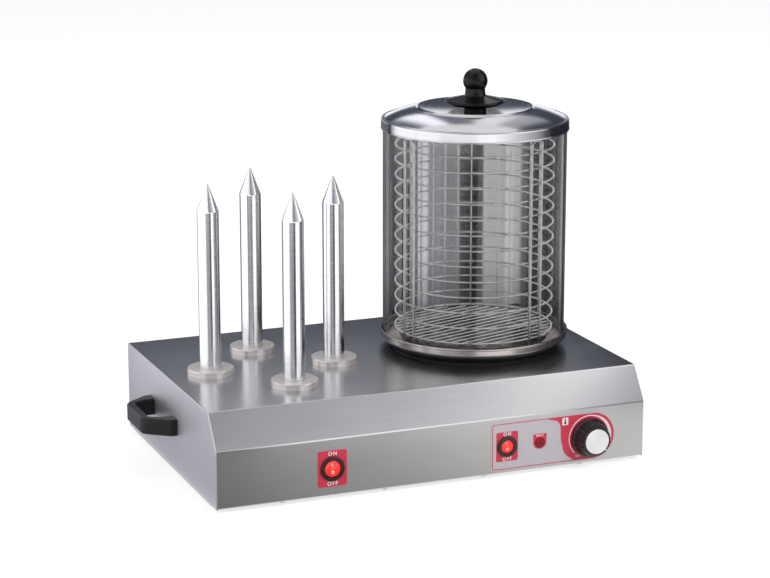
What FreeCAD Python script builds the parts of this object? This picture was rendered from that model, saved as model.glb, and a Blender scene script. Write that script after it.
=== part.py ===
import FreeCAD
import Part

import math
import os

from FreeCAD import Placement, Rotation, Vector

# Countertop hot dog toaster: a low steel housing with four heated spikes on its left
# and a glass steaming tower with a wire basket and a lid on its right.
# Millimetres, +X to the right, +Y to the back, +Z up.
# The origin is on the table under the middle of the housing.

os.makedirs("parts", exist_ok=True)

# Housing
housing_width = 480.0
housing_depth = 312.0
housing_height = 96.0
front_height = 61.0
slope_setback = 24.0
sheet = 1.2
bend_inside = 1.8
return_flange = 16.0
table_gap = 4.0
panel_tab = 12.0
panel_edge_bevel = 0.8
base_sheet = 1.0
base_clearance = 0.5

# Feet and the screws of the base
foot_radius = 12.0
foot_inset = 36.0
foot_recess_radius = 4.8
foot_web = 2.6
screw_radius = 2.0
screw_head_radius = 3.8
screw_head_height = 1.8
screw_length = 12.0
screw_clearance = 0.25
base_screw_count = 4
vent_length = 46.0
vent_width = 4.0
vent_pitch = 11.0
vent_count = 7

# Side handles
handle_length = 99.0
handle_reach = 33.0
handle_height = 18.0
handle_bar = 9.0
handle_foot = 17.0
handle_foot_step = 7.0
handle_slant = 20.0
handle_round = 7.0
handle_middle_y = 22.0
handle_middle_z = 54.0
handle_bolt_radius = 2.5
handle_bolt_head_radius = 4.5
handle_bolt_head_height = 3.0
handle_bolt_grip = 11.0

# Spikes: a solid aluminium rod with a bored heater, standing through a flange
spike_radius = 11.5
spike_height = 204.0
spike_cone = 29.0
spike_tip_radius = 1.2
spike_flange_radius = 25.0
spike_flange_height = 6.0
spike_flange_bevel = 0.8
spike_stud_radius = 8.0
spike_stud_length = 22.0
spike_nut_height = 8.0
spike_nut_flats = 24.0
spike_fit = 0.15
spike_heater_radius = 5.0
spike_heater_fit = 0.1
spike_heater_length = 150.0
spike_heater_lead = 14.0
spike_middle_x = -123.5
spike_middle_y = 2.5
spike_row_x = 68.4
spike_row_y = -3.7
spike_column_x = -1.4
spike_column_y = -71.6

# Water basin under the tower
tower_x = 114.5
tower_y = 11.0
rim_radius = 103.0
rim_height = 8.0
rim_bead = 1.2
ledge_lift = 11.0
well_radius = 80.0
well_depth = 60.0
basin_sheet = 1.0
basin_bend = 1.5
well_hole_gap = 1.0
collar_sheet = 1.2
collar_top_gap = 4.0
collar_tuck = 6.0
collar_foot = 8.0
gasket_height = 2.0
gasket_width = 7.0

# Heating under the basin
element_radius = 4.0
element_ring_radius = 50.0
element_gap_angle = 40.0
element_lead_length = 12.0
clamp_radius = 62.0
clamp_sheet = 2.0
clamp_stud_radius = 3.0
clamp_stud_tail = 8.0
cutout_radius = 9.0
cutout_height = 8.0
cutout_offset = 30.0
cutout_blade = 6.0

# Round rocker switches and their label plates
label_sheet = 0.5
panel_hole_gap = 0.3
left_label_x = -116.0
left_label_z = 33.6
left_label_width = 31.4
left_label_height = 38.4
label_corner = 2.5
left_bezel_radius = 13.0
right_bezel_radius = 11.3
right_switch_x = 79.3
bezel_lip = 2.2
switch_body_depth = 17.0
rocker_wall = 4.2
rocker_gap = 0.4
rocker_thickness = 3.4
rocker_depth = 1.6
rocker_tilt = 10.0
rocker_pin_radius = 1.2
rocker_pin_fit = 0.05
rocker_barrel_wall = 1.2
rocker_well_depth = 10.0
blade_width = 6.3
blade_sheet = 0.8
blade_length = 9.0
blade_pitch = 8.0

# Control panel with lamp and thermostat
panel_left_x = 61.0
panel_right_x = 205.5
panel_bottom_z = 7.5
panel_top_z = 60.0
panel_corner = 4.5
lamp_x = 117.2
lamp_lens_radius = 5.6
lamp_lens_height = 1.6
lamp_body_radius = 4.6
lamp_body_depth = 20.0
lamp_seat_depth = 3.0
knob_x = 175.0
knob_z = 33.0
knob_base_radius = 21.0
knob_front_radius = 16.0
knob_depth = 18.5
knob_gap = 0.8
knob_skirt = 3.5
knob_skirt_wall = 1.8
knob_flute_count = 24
knob_flute_radius = 1.5
knob_cap_radius = 13.5
knob_cap_height = 1.6
knob_shell = 2.5
shaft_radius = 3.0
shaft_flat = 0.8
shaft_grip = 11.0
shaft_fit = 0.05
thermostat_width = 44.0
thermostat_height = 34.0
thermostat_depth = 26.0
thermostat_screw_pitch = 28.0
shaft_socket_depth = 9.0

# Thermostat bulb, clipped beside the well
capillary_radius = 1.0
bulb_radius = 3.0
bulb_length = 70.0
bulb_gap = 0.6
bulb_angle = -45.0
bulb_lift = 6.0
capillary_bend = 5.0
capillary_knee = 14.0

# Mains entry at the back
gland_x = -60.0
gland_z = 40.0
gland_flats = 22.0
gland_head = 9.4
gland_dome = 11.0
gland_thread_radius = 8.0
gland_bore_radius = 4.0
gland_thread_length = 14.0
gland_nut_height = 5.0
gland_fit = 0.2
earth_offset = 34.0
earth_radius = 3.0
earth_tail = 12.0
earth_inside = 9.0
earth_nut_flats = 10.0
earth_nut_height = 5.0
terminal_length = 52.0
terminal_depth = 20.0
terminal_height = 18.0
terminal_hole_radius = 2.6
terminal_poles = 5
terminal_y = 96.0

# Glass tower
glass_radius = 100.0
glass_wall = 3.0
glass_height = 240.0
seat_gap = 0.3

# Wire basket
ring_radius = 86.3
ring_wire = 1.0
ring_count = 13
ring_pitch = 16.9
ring_lift = 10.0
loop_wire = 1.4
loop_width = 16.0
loop_rise = 13.5
loop_bend = 5.5
loop_angle_a = 14.7
loop_angle_b = 113.5
floor_wire = 1.0
floor_pitch = 10.0
floor_angle = 17.5
floor_bar_reach = 45.0
back_wire = 0.75
back_wire_count = 7
back_wire_angle = 10.3
back_angle = 68.0

# Lid and its knob
lid_sheet = 1.0
lid_radius = 102.0
lid_skirt = 11.0
lid_bead = 1.0
lid_shoulder = 4.0
lid_step_radius = 62.0
lid_step_height = 2.0
lid_dome_rise = 10.5
lid_dish_depth = 2.5
lid_vent_radius = 2.0
lid_vent_reach = 70.0
lid_vent_angle = -52.0
lid_hole_radius = 3.3
ball_radius = 13.3
neck_radius = 10.6
neck_height = 6.0
saucer_radius = 32.5
saucer_rim = 6.0
saucer_cone = 4.5
saucer_lift = 3.0
saucer_hub_radius = 12.0
lid_screw_radius = 3.0
lid_screw_grip = 12.0
lid_screw_head_radius = 6.0
lid_screw_head_height = 3.0
lid_screw_fit = 0.15

# Places worked out from the sizes above
half_width = housing_width / 2
front_y = -housing_depth / 2
back_y = housing_depth / 2
low_z = table_gap
top_z = table_gap + housing_height
inner_top_z = top_z - sheet
tower = Vector(tower_x, tower_y, 0)
up = Vector(0, 0, 1)
label_face_y = front_y - label_sheet


# Helpers
def save(name, shape):
    shape.exportStep("parts/" + name + ".step")


def group(shapes):
    return Part.makeCompound(shapes)


def block(x0, x1, y0, y1, z0, z1):
    return Part.makeBox(x1 - x0, y1 - y0, z1 - z0, Vector(x0, y0, z0))


def rod(start, end, radius):
    direction = end - start
    return Part.makeCylinder(radius, direction.Length, start, direction)


def pillar(x, y, z0, z1, radius):
    return rod(Vector(x, y, z0), Vector(x, y, z1), radius)


def front_rod(x, z, y0, y1, radius):
    return rod(Vector(x, y0, z), Vector(x, y1, z), radius)


def hexagon(start, end, flats):
    direction = end - start
    across = flats / math.sqrt(3)
    points = []
    for corner in range(7):
        turn = math.radians(60 * corner)
        points.append(Vector(across * math.cos(turn), across * math.sin(turn), 0))
    prism = Part.Face(Part.makePolygon(points)).extrude(Vector(0, 0, direction.Length))
    prism.Placement = Placement(start, Rotation(Vector(0, 0, 1), direction))
    return prism


# A face through corner points, each corner rounded by its own radius
def rounded_wire(points, radii, closed):
    edges = []
    count = len(points)
    entries = []
    exits = []
    for i in range(count):
        radius = radii[i]
        at_end = not closed and i in (0, count - 1)
        if at_end or radius <= 0:
            entries.append(points[i])
            exits.append(points[i])
            continue
        before = (points[i - 1] - points[i]).normalize()
        after = (points[(i + 1) % count] - points[i]).normalize()
        half = before.getAngle(after) / 2
        reach = radius / math.tan(half)
        entries.append(points[i] + before * reach)
        exits.append(points[i] + after * reach)
        middle = (before + after).normalize() * (radius / math.sin(half) - radius)
        edges.append(Part.Arc(entries[i], points[i] + middle, exits[i]).toShape())
    for i in range(count if closed else count - 1):
        start = exits[i]
        end = entries[(i + 1) % count]
        if (end - start).Length > 1e-6:
            edges.append(Part.makeLine(start, end))
    return edges


def rounded_face(points, radii):
    edges = rounded_wire(points, radii, True)
    return Part.Face(Part.Wire(Part.__sortEdges__(edges)))


# A bent sheet's section: points run along one side, and the wall lies to the right of them
def sheet_face(points, wall, inside_radius, ahead, side):
    count = len(points)
    offset = []
    near = [0.0] * count
    far = [0.0] * count
    rights = []
    for i in range(count - 1):
        step = (points[i + 1] - points[i]).normalize()
        rights.append(side * step.dot(ahead) - ahead * step.dot(side))
    for i in range(count):
        if i == 0:
            offset.append(points[i] + rights[0] * wall)
        elif i == count - 1:
            offset.append(points[i] + rights[-1] * wall)
        else:
            joined = rights[i - 1] + rights[i]
            scale = wall / (1 + rights[i - 1].dot(rights[i]))
            offset.append(points[i] + joined * scale)
            into = (points[i + 1] - points[i]).dot(rights[i - 1])
            near[i] = inside_radius + (wall if into > 0 else 0)
            far[i] = inside_radius + (0 if into > 0 else wall)
    edges = rounded_wire(points, near, False)
    edges += rounded_wire(offset, far, False)
    edges.append(Part.makeLine(points[0], offset[0]))
    edges.append(Part.makeLine(points[-1], offset[-1]))
    return Part.Face(Part.Wire(Part.__sortEdges__(edges)))


# A turned piece: closed outline of (radius, height) points round a vertical axis
def turned(outline, axis_point, radii=None):
    points = [Vector(radius, 0, height) for radius, height in outline]
    face = rounded_face(points, radii or [0.0] * len(points))
    solid = face.revolve(Vector(0, 0, 0), up, 360)
    solid.translate(axis_point)
    return solid


def spun_sheet(outline, wall, inside_radius, axis_point):
    points = [Vector(radius, 0, height) for radius, height in outline]
    face = sheet_face(points, wall, inside_radius, Vector(0, 0, 1), Vector(1, 0, 0))
    solid = face.revolve(Vector(0, 0, 0), up, 360)
    solid.translate(axis_point)
    return solid


# A tube through points, each corner eased by the same bend
def bent_tube(points, bend, radius):
    edges = Part.__sortEdges__(rounded_wire(points, [bend] * len(points), False))
    path = Part.Wire(edges)
    start = points[0]
    mouth = Part.Wire(Part.makeCircle(radius, start, points[1] - start))
    return path.makePipeShell([mouth], True, True)


def polar(radius, turn, z):
    angle = math.radians(turn)
    return tower + Vector(radius * math.cos(angle), radius * math.sin(angle), z)


# Where each thing on the front stands
spike_places = {
    "left": (spike_middle_x - spike_row_x, spike_middle_y - spike_row_y),
    "right": (spike_middle_x + spike_row_x, spike_middle_y + spike_row_y),
    "front": (spike_middle_x + spike_column_x, spike_middle_y + spike_column_y),
    "rear": (spike_middle_x - spike_column_x, spike_middle_y - spike_column_y),
}
switches = {
    "left": (left_label_x, left_label_z, left_bezel_radius),
    "right": (right_switch_x, left_label_z, right_bezel_radius),
}
foot_places = {
    "front_left": (-half_width + foot_inset, front_y + foot_inset),
    "front_right": (half_width - foot_inset, front_y + foot_inset),
    "back_left": (-half_width + foot_inset, back_y - foot_inset),
    "back_right": (half_width - foot_inset, back_y - foot_inset),
}
thermostat_screws = [
    (knob_x - thermostat_screw_pitch / 2, knob_z),
    (knob_x + thermostat_screw_pitch / 2, knob_z),
]
base_screw_places = []
for number in range(base_screw_count):
    share = (number + 0.5) / base_screw_count
    place_x = (2 * share - 1) * (half_width - return_flange)
    base_screw_places.append((place_x, front_y + return_flange / 2 + sheet / 2))
    base_screw_places.append((place_x, back_y - return_flange / 2 - sheet / 2))
handle_bolt_ys = [
    handle_middle_y - (handle_length - handle_foot) / 2,
    handle_middle_y + (handle_length - handle_foot) / 2,
]


# The housing's outline seen from its left side, as a list of corners
def housing_corners():
    return [
        Vector(0, front_y, low_z),
        Vector(0, front_y, low_z + front_height),
        Vector(0, front_y + slope_setback, top_z),
        Vector(0, back_y, top_z),
        Vector(0, back_y, low_z),
    ]


# Holes that the label plates share with the front
def front_holes(y0, y1):
    holes = []
    for x, z, bezel_radius in switches.values():
        holes.append(front_rod(x, z, y0, y1, bezel_radius - bezel_lip + panel_hole_gap))
    holes.append(front_rod(lamp_x, left_label_z, y0, y1, lamp_body_radius + panel_hole_gap))
    holes.append(front_rod(knob_x, knob_z, y0, y1, shaft_radius + 1))
    for x, z in thermostat_screws:
        holes.append(front_rod(x, z, y0, y1, screw_radius + screw_clearance))
    return holes


# Folded front, slope, top and back, with the holes for all that passes through
def housing_wrap():
    corners = housing_corners()
    first = Vector(0, front_y + return_flange, low_z)
    last = Vector(0, back_y - return_flange, low_z)
    section = sheet_face([first] + corners + [last], sheet, bend_inside, up, Vector(0, 1, 0))
    length = housing_width - 2 * sheet
    section.translate(Vector(-length / 2, 0, 0))
    shell = section.extrude(Vector(length, 0, 0))
    cuts = front_holes(front_y - 1, front_y + sheet + 1)
    for x, y in spike_places.values():
        cuts.append(pillar(x, y, inner_top_z - 1, top_z + 1, spike_stud_radius + spike_fit))
    well_outside = well_radius + basin_sheet
    cuts.append(pillar(tower_x, tower_y, inner_top_z - 1, top_z + 1, well_outside + well_hole_gap))
    back_from = back_y - sheet - 1
    cuts.append(front_rod(gland_x, gland_z, back_from, back_y + 1, gland_thread_radius + gland_fit))
    cuts.append(
        front_rod(gland_x + earth_offset, gland_z, back_from, back_y + 1, earth_radius + screw_clearance)
    )
    for x, y in base_screw_places:
        cuts.append(pillar(x, y, low_z - 1, low_z + sheet + 1, screw_radius + screw_clearance))
    for number in range(vent_count):
        z = gland_z + vent_pitch * (number - (vent_count - 1) / 2)
        if low_z + 2 * vent_width < z < top_z - 2 * vent_width:
            cuts.append(
                block(tower_x - vent_length, tower_x + vent_length, back_from, back_y + 1, z, z + vent_width)
            )
    return shell.cut(cuts)


# One side panel with tabs that lie under the folded sheet
def side_panel(sign):
    corners = housing_corners()
    bend = bend_inside + sheet
    outline = rounded_face(corners, [0.0, bend, bend, bend, 0.0])
    outline.translate(Vector(sign * half_width, 0, 0))
    plate = outline.extrude(Vector(-sign * sheet, 0, 0))
    across = housing_width - 0.01
    outer_edges = [edge for edge in plate.Edges if abs(edge.BoundBox.XMin + edge.BoundBox.XMax) > across]
    plate = plate.makeChamfer(min(panel_edge_bevel, sheet * 0.8), outer_edges)
    solids = [plate]
    notch = 2 * bend
    for i in range(len(corners)):
        start = corners[i]
        end = corners[(i + 1) % len(corners)]
        along = (end - start).normalize()
        inward = along.cross(Vector(1, 0, 0))
        bottom = i == len(corners) - 1
        depth = 0.0 if bottom else sheet
        ease = return_flange + 1 if bottom else notch
        a = start + along * ease + inward * depth
        b = end - along * ease + inward * depth
        strip = Part.makePolygon([a, b, b + inward * sheet, a + inward * sheet, a])
        tab = Part.Face(strip)
        tab.translate(Vector(sign * half_width, 0, 0))
        solids.append(tab.extrude(Vector(-sign * (sheet + panel_tab), 0, 0)))
    panel = solids[0].fuse(solids[1:]).removeSplitter()
    cuts = []
    for y in handle_bolt_ys:
        start = Vector(sign * (half_width + 1), y, handle_middle_z)
        end = Vector(sign * (half_width - sheet - 1), y, handle_middle_z)
        cuts.append(rod(start, end, handle_bolt_radius + screw_clearance))
    return panel.cut(cuts)


base_low_z = low_z + sheet
base_top_z = base_low_z + base_sheet


# Base plate lying on the return flanges, with vent slots
def base_plate():
    half_x = half_width - sheet - base_clearance
    half_y = housing_depth / 2 - sheet - bend_inside - base_clearance
    plate = block(-half_x, half_x, -half_y, half_y, base_low_z, base_top_z)
    cuts = []
    for x, y in list(foot_places.values()) + base_screw_places:
        cuts.append(pillar(x, y, base_low_z - 1, base_top_z + 1, screw_radius + screw_clearance))
    for number in range(vent_count):
        y = vent_pitch * (number - (vent_count - 1) / 2)
        for x in (spike_middle_x, tower_x):
            slot = block(x - vent_length, x + vent_length, y, y + vent_width, base_low_z - 1, base_top_z + 1)
            cuts.append(slot)
    return plate.cut(cuts)


def foot(x, y):
    recess_top = base_low_z - foot_web
    puck = pillar(x, y, 0, base_low_z, foot_radius)
    puck = puck.makeChamfer(0.6, [edge for edge in puck.Edges if edge.BoundBox.ZMax < 0.01 and edge.Closed])
    recess = pillar(x, y, -1, recess_top, foot_recess_radius)
    hole = pillar(x, y, recess_top - 1, base_low_z + 1, screw_radius + screw_clearance)
    return puck.cut([recess, hole])


# A pan head screw standing upwards, its head under the seat height
def upward_screw(x, y, seat_z):
    head = pillar(x, y, seat_z - screw_head_height, seat_z, screw_head_radius)
    shank = pillar(x, y, seat_z, seat_z + screw_length, screw_radius)
    return head.fuse(shank).removeSplitter()


def foot_screws():
    return group([upward_screw(x, y, base_low_z - foot_web) for x, y in foot_places.values()])


def base_screws():
    return group([upward_screw(x, y, low_z) for x, y in base_screw_places])


# A bow handle seen from above, mirrored for the other side by its sign
def handle(sign):
    half = handle_length / 2
    reach = handle_reach
    inner_half = half - handle_foot
    inner_reach = reach - handle_bar
    inner_slant = max(handle_slant - handle_bar, 2.0)
    outline = [
        (0, -half),
        (handle_foot_step, -half),
        (reach, -half + handle_slant),
        (reach, half - handle_slant),
        (handle_foot_step, half),
        (0, half),
        (0, inner_half),
        (inner_reach / 2, inner_half),
        (inner_reach, inner_half - inner_slant / 2),
        (inner_reach, -inner_half + inner_slant / 2),
        (inner_reach / 2, -inner_half),
        (0, -inner_half),
    ]
    round_in = handle_round / 2
    radii = [0, 2, handle_round * 2, handle_round * 2, 2, 0, 0, round_in, round_in, round_in, round_in, 0]
    bottom_z = handle_middle_z - handle_height / 2
    points = []
    for out, along in outline:
        points.append(Vector(sign * (half_width + out), handle_middle_y + along, bottom_z))
    bow = rounded_face(points, radii).extrude(Vector(0, 0, handle_height))
    long_edges = []
    for edge in bow.Edges:
        flat = edge.BoundBox.ZLength < 0.01
        away = abs(edge.BoundBox.XMin + edge.BoundBox.XMax) / 2 > half_width + handle_foot_step / 2
        outer = edge.BoundBox.DiagonalLength > handle_reach / 2 and away
        if flat and outer:
            long_edges.append(edge)
    bow = bow.makeChamfer(1.2, long_edges)
    holes = []
    for y in handle_bolt_ys:
        start = Vector(sign * (half_width - 1), y, handle_middle_z)
        end = Vector(sign * (half_width + handle_bolt_grip + 1), y, handle_middle_z)
        holes.append(rod(start, end, handle_bolt_radius + screw_clearance))
    return bow.cut(holes)


# Bolts that hold the handles from inside the side panels
def handle_bolts():
    bolts = []
    for sign in (-1, 1):
        for y in handle_bolt_ys:
            seat = Vector(sign * (half_width - sheet), y, handle_middle_z)
            head_end = Vector(sign * (half_width - sheet - handle_bolt_head_height), y, handle_middle_z)
            tip = Vector(sign * (half_width + handle_bolt_grip), y, handle_middle_z)
            head = rod(head_end, seat, handle_bolt_head_radius)
            bolts.append(head.fuse(rod(seat, tip, handle_bolt_radius)).removeSplitter())
    return group(bolts)


heater_bore = spike_heater_radius + spike_heater_fit
spike_stud_end = inner_top_z - spike_stud_length
spike_heater_top = spike_stud_end + spike_heater_length


# Pointed aluminium rod on a threaded stud, bored from below for its heater
def spike(x, y):
    outline = [
        (heater_bore, spike_stud_end),
        (spike_stud_radius, spike_stud_end),
        (spike_stud_radius, top_z),
        (spike_radius, top_z),
        (spike_radius, top_z + spike_height - spike_cone),
        (spike_tip_radius, top_z + spike_height - spike_tip_radius),
        (0, top_z + spike_height),
        (0, spike_heater_top + 1),
        (heater_bore, spike_heater_top + 1),
    ]
    return turned(outline, Vector(x, y, 0), [0, 0, 0, 0, 4.0, 0.8, 0, 0, 0])


# Flat round flange with a bevelled rim, faced on the lathe
def spike_flange(x, y):
    top = top_z + spike_flange_height
    outline = [
        (spike_radius + spike_fit, top_z),
        (spike_flange_radius, top_z),
        (spike_flange_radius, top - spike_flange_bevel),
        (spike_flange_radius - spike_flange_bevel, top),
        (spike_radius + spike_fit, top),
    ]
    return turned(outline, Vector(x, y, 0))


def spike_heater(x, y):
    bottom = spike_stud_end - spike_heater_lead
    body = pillar(x, y, spike_stud_end, spike_heater_top, spike_heater_radius)
    leads = []
    for side in (-1, 1):
        lead_x = x + side * spike_heater_radius / 2
        leads.append(pillar(lead_x, y, bottom, spike_stud_end, spike_heater_radius / 4))
    return body.fuse(leads)


def spike_nuts():
    nuts = []
    for x, y in spike_places.values():
        start = Vector(x, y, inner_top_z - spike_nut_height)
        end = Vector(x, y, inner_top_z)
        nut = hexagon(start, end, spike_nut_flats)
        nuts.append(nut.cut(rod(start - up, end + up, spike_stud_radius + spike_fit)))
    return group(nuts)


ledge_low_z = top_z + ledge_lift
ledge_z = ledge_low_z + basin_sheet
rim_top_z = ledge_low_z + rim_height
well_outside_radius = well_radius + basin_sheet
well_low_z = ledge_low_z - well_depth
element_z = well_low_z - element_radius
clamp_top_z = element_z - element_radius
clamp_low_z = clamp_top_z - clamp_sheet


# Deep drawn basin: rolled rim, ledge for the glass and the basket, and the well
def water_basin():
    outline = [
        (rim_radius, rim_top_z),
        (rim_radius, ledge_low_z),
        (well_outside_radius, ledge_low_z),
        (well_outside_radius, well_low_z),
        (0, well_low_z),
    ]
    pan = spun_sheet(outline, basin_sheet, basin_bend, tower)
    bead_centre = Vector(rim_radius - basin_sheet / 2, 0, rim_top_z)
    bead = Part.Face(Part.Wire(Part.makeCircle(rim_bead, bead_centre, Vector(0, 1, 0))))
    bead = bead.revolve(Vector(0, 0, 0), up, 360)
    bead.translate(tower)
    stud_low_z = clamp_low_z - clamp_stud_tail
    stud = pillar(tower_x, tower_y, stud_low_z, well_low_z, clamp_stud_radius)
    return pan.fuse([bead, stud]).removeSplitter()


collar_top_radius = rim_radius - collar_top_gap
collar_low_radius = collar_top_radius - collar_tuck


# Collar that carries the basin over the housing
def basin_collar():
    foot_z = top_z + gasket_height
    outline = [
        (collar_top_radius, ledge_low_z),
        (collar_top_radius, ledge_low_z - collar_sheet - 1),
        (collar_low_radius, foot_z),
        (collar_low_radius - collar_foot, foot_z),
    ]
    return spun_sheet(outline, collar_sheet, 1.0, tower)


def basin_gasket():
    outer = collar_low_radius - collar_foot / 4
    inner = outer - gasket_width
    outline = [
        (inner, top_z),
        (outer, top_z),
        (outer, top_z + gasket_height),
        (inner, top_z + gasket_height),
    ]
    return turned(outline, tower)


# Tubular heating element, an open ring with two legs down through the clamp plate
def heating_element():
    sweep = 360 - element_gap_angle
    ring = Part.makeTorus(element_ring_radius, element_radius, Vector(0, 0, 0), up, -180, 180, sweep)
    ring.rotate(Vector(0, 0, 0), up, 90 + element_gap_angle / 2)
    ring.translate(tower + Vector(0, 0, element_z))
    solids = []
    for side in (-1, 1):
        end = polar(element_ring_radius, 90 + side * element_gap_angle / 2, element_z)
        solids.append(Part.makeSphere(element_radius, end))
        drop = element_radius + clamp_sheet + element_lead_length
        solids.append(rod(end, end - up * drop, element_radius))
    return ring.fuse(solids)


def heater_clamp():
    plate = pillar(tower_x, tower_y, clamp_low_z, clamp_top_z, clamp_radius)
    cuts = [pillar(tower_x, tower_y, clamp_low_z - 1, clamp_top_z + 1, clamp_stud_radius + screw_clearance)]
    for side in (-1, 1):
        end = polar(element_ring_radius, 90 + side * element_gap_angle / 2, 0)
        cuts.append(pillar(end.x, end.y, clamp_low_z - 1, clamp_top_z + 1, element_radius + 0.6))
    return plate.cut(cuts)


def clamp_nut():
    start = tower + Vector(0, 0, clamp_low_z - clamp_stud_tail * 0.6)
    end = tower + Vector(0, 0, clamp_low_z)
    nut = hexagon(start, end, clamp_stud_radius * 3.3)
    return nut.cut(rod(start - up, end + up, clamp_stud_radius + 0.1))


def thermal_cutout():
    x = tower_x + cutout_offset
    body = pillar(x, tower_y, clamp_low_z - cutout_height, clamp_low_z, cutout_radius)
    blades = []
    for side in (-1, 1):
        blade_x = x + side * cutout_radius / 2
        low = clamp_low_z - cutout_height
        blades.append(
            block(
                blade_x - blade_sheet / 2,
                blade_x + blade_sheet / 2,
                tower_y - blade_width / 2,
                tower_y + blade_width / 2,
                low - cutout_blade,
                low,
            )
        )
    return body.fuse(blades)


# Label plate under the left switch
def left_label():
    half_x = left_label_width / 2
    half_z = left_label_height / 2
    corners = [
        Vector(left_label_x - half_x, label_face_y, left_label_z - half_z),
        Vector(left_label_x + half_x, label_face_y, left_label_z - half_z),
        Vector(left_label_x + half_x, label_face_y, left_label_z + half_z),
        Vector(left_label_x - half_x, label_face_y, left_label_z + half_z),
    ]
    plate = rounded_face(corners, [label_corner] * 4).extrude(Vector(0, label_sheet, 0))
    return plate.cut(front_holes(label_face_y - 1, front_y + 1))


# Long label plate at the right, its right end a half round
def control_panel():
    end_radius = (panel_top_z - panel_bottom_z) / 2 - 0.01
    corners = [
        Vector(panel_left_x, label_face_y, panel_bottom_z),
        Vector(panel_right_x, label_face_y, panel_bottom_z),
        Vector(panel_right_x, label_face_y, panel_top_z),
        Vector(panel_left_x, label_face_y, panel_top_z),
    ]
    radii = [panel_corner, end_radius, end_radius, panel_corner]
    plate = rounded_face(corners, radii).extrude(Vector(0, label_sheet, 0))
    return plate.cut(front_holes(label_face_y - 1, front_y + 1))


pivot_y = label_face_y - bezel_lip + rocker_thickness / 2 + rocker_depth


# Round switch housing: bezel on the plate, body behind it, and the rocker's pin
def switch_body(x, z, bezel_radius):
    neck = bezel_radius - bezel_lip
    cavity = bezel_radius - rocker_wall
    bezel = front_rod(x, z, label_face_y - bezel_lip, label_face_y, bezel_radius)
    bezel = bezel.makeFillet(1.2, [edge for edge in bezel.Edges if front_edge(edge)])
    body = front_rod(x, z, label_face_y, label_face_y + switch_body_depth, neck)
    well = front_rod(x, z, label_face_y - bezel_lip - 1, label_face_y + rocker_well_depth, cavity)
    pin = rod(
        Vector(x - cavity - 0.5, pivot_y, z),
        Vector(x + cavity + 0.5, pivot_y, z),
        rocker_pin_radius,
    )
    return bezel.fuse(body).cut(well).fuse(pin).removeSplitter()


def front_edge(edge):
    return edge.Closed and edge.BoundBox.YLength < 0.01 and edge.BoundBox.YMax < label_face_y - 0.1


# Lit rocker: a round key with two slanting faces on a barrel round the pin
def rocker(x, z, bezel_radius):
    radius = bezel_radius - rocker_wall - rocker_gap
    half = rocker_thickness / 2
    barrel_radius = rocker_pin_radius + rocker_pin_fit + rocker_barrel_wall
    key = front_rod(x, z, pivot_y - half, pivot_y + half, radius)
    rise = math.tan(math.radians(rocker_tilt)) * radius
    for side in (-1, 1):
        a = Vector(x - radius - 1, pivot_y - half, z)
        b = Vector(x - radius - 1, pivot_y - half - 1, z)
        c = Vector(x - radius - 1, pivot_y - half - 1, z + side * (radius + 1))
        d = Vector(x - radius - 1, pivot_y - half + rise / 2, z + side * (radius + 1))
        wedge = Part.Face(Part.makePolygon([a, b, c, d, a])).extrude(Vector(2 * radius + 2, 0, 0))
        key = key.cut(wedge)
    barrel_half = radius * 0.6
    barrel = rod(
        Vector(x - barrel_half, pivot_y, z),
        Vector(x + barrel_half, pivot_y, z),
        barrel_radius,
    )
    slot_radius = rocker_pin_radius + rocker_pin_fit
    slot = rod(Vector(x - radius - 1, pivot_y, z), Vector(x + radius + 1, pivot_y, z), slot_radius)
    key = key.fuse(barrel).cut(slot).removeSplitter()
    key.rotate(Vector(x, pivot_y, z), Vector(1, 0, 0), -rocker_tilt)
    return key


def switch_terminals():
    blades = []
    for x, z, bezel_radius in switches.values():
        start = label_face_y + switch_body_depth
        for row in (-1, 1):
            for side in (-1, 1):
                blade_z = z + row * blade_pitch / 2
                blade_x = x + side * blade_pitch / 2
                blades.append(
                    block(
                        blade_x - blade_width / 2 * 0.95,
                        blade_x + blade_width / 2 * 0.95,
                        start,
                        start + blade_length,
                        blade_z - blade_sheet / 2,
                        blade_z + blade_sheet / 2,
                    )
                )
    return group(blades)


# Signal lamp: threaded body with two blades, and a domed lens
def lamp_body():
    end = label_face_y + lamp_body_depth
    body = front_rod(lamp_x, left_label_z, label_face_y, end, lamp_body_radius)
    seat_end = label_face_y + lamp_seat_depth
    seat = front_rod(lamp_x, left_label_z, label_face_y - 1, seat_end, lamp_body_radius - 1)
    blades = []
    for side in (-1, 1):
        blade_x = lamp_x + side * lamp_body_radius / 2
        blades.append(
            block(
                blade_x - blade_sheet / 2,
                blade_x + blade_sheet / 2,
                end,
                end + blade_length,
                left_label_z - lamp_body_radius / 2,
                left_label_z + lamp_body_radius / 2,
            )
        )
    return body.cut(seat).fuse(blades)


def lamp_lens():
    plug = front_rod(
        lamp_x, left_label_z, label_face_y, label_face_y + lamp_seat_depth, lamp_body_radius - 1.1
    )
    lens = front_rod(lamp_x, left_label_z, label_face_y - lamp_lens_height, label_face_y, lamp_lens_radius)
    front = [edge for edge in lens.Edges if front_edge(edge)]
    lens = lens.makeFillet(lamp_lens_height * 0.7, front)
    return lens.fuse(plug).removeSplitter()


knob_back_y = label_face_y - knob_gap
knob_front_y = knob_back_y - knob_depth
thermostat_front_y = front_y + sheet


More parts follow.
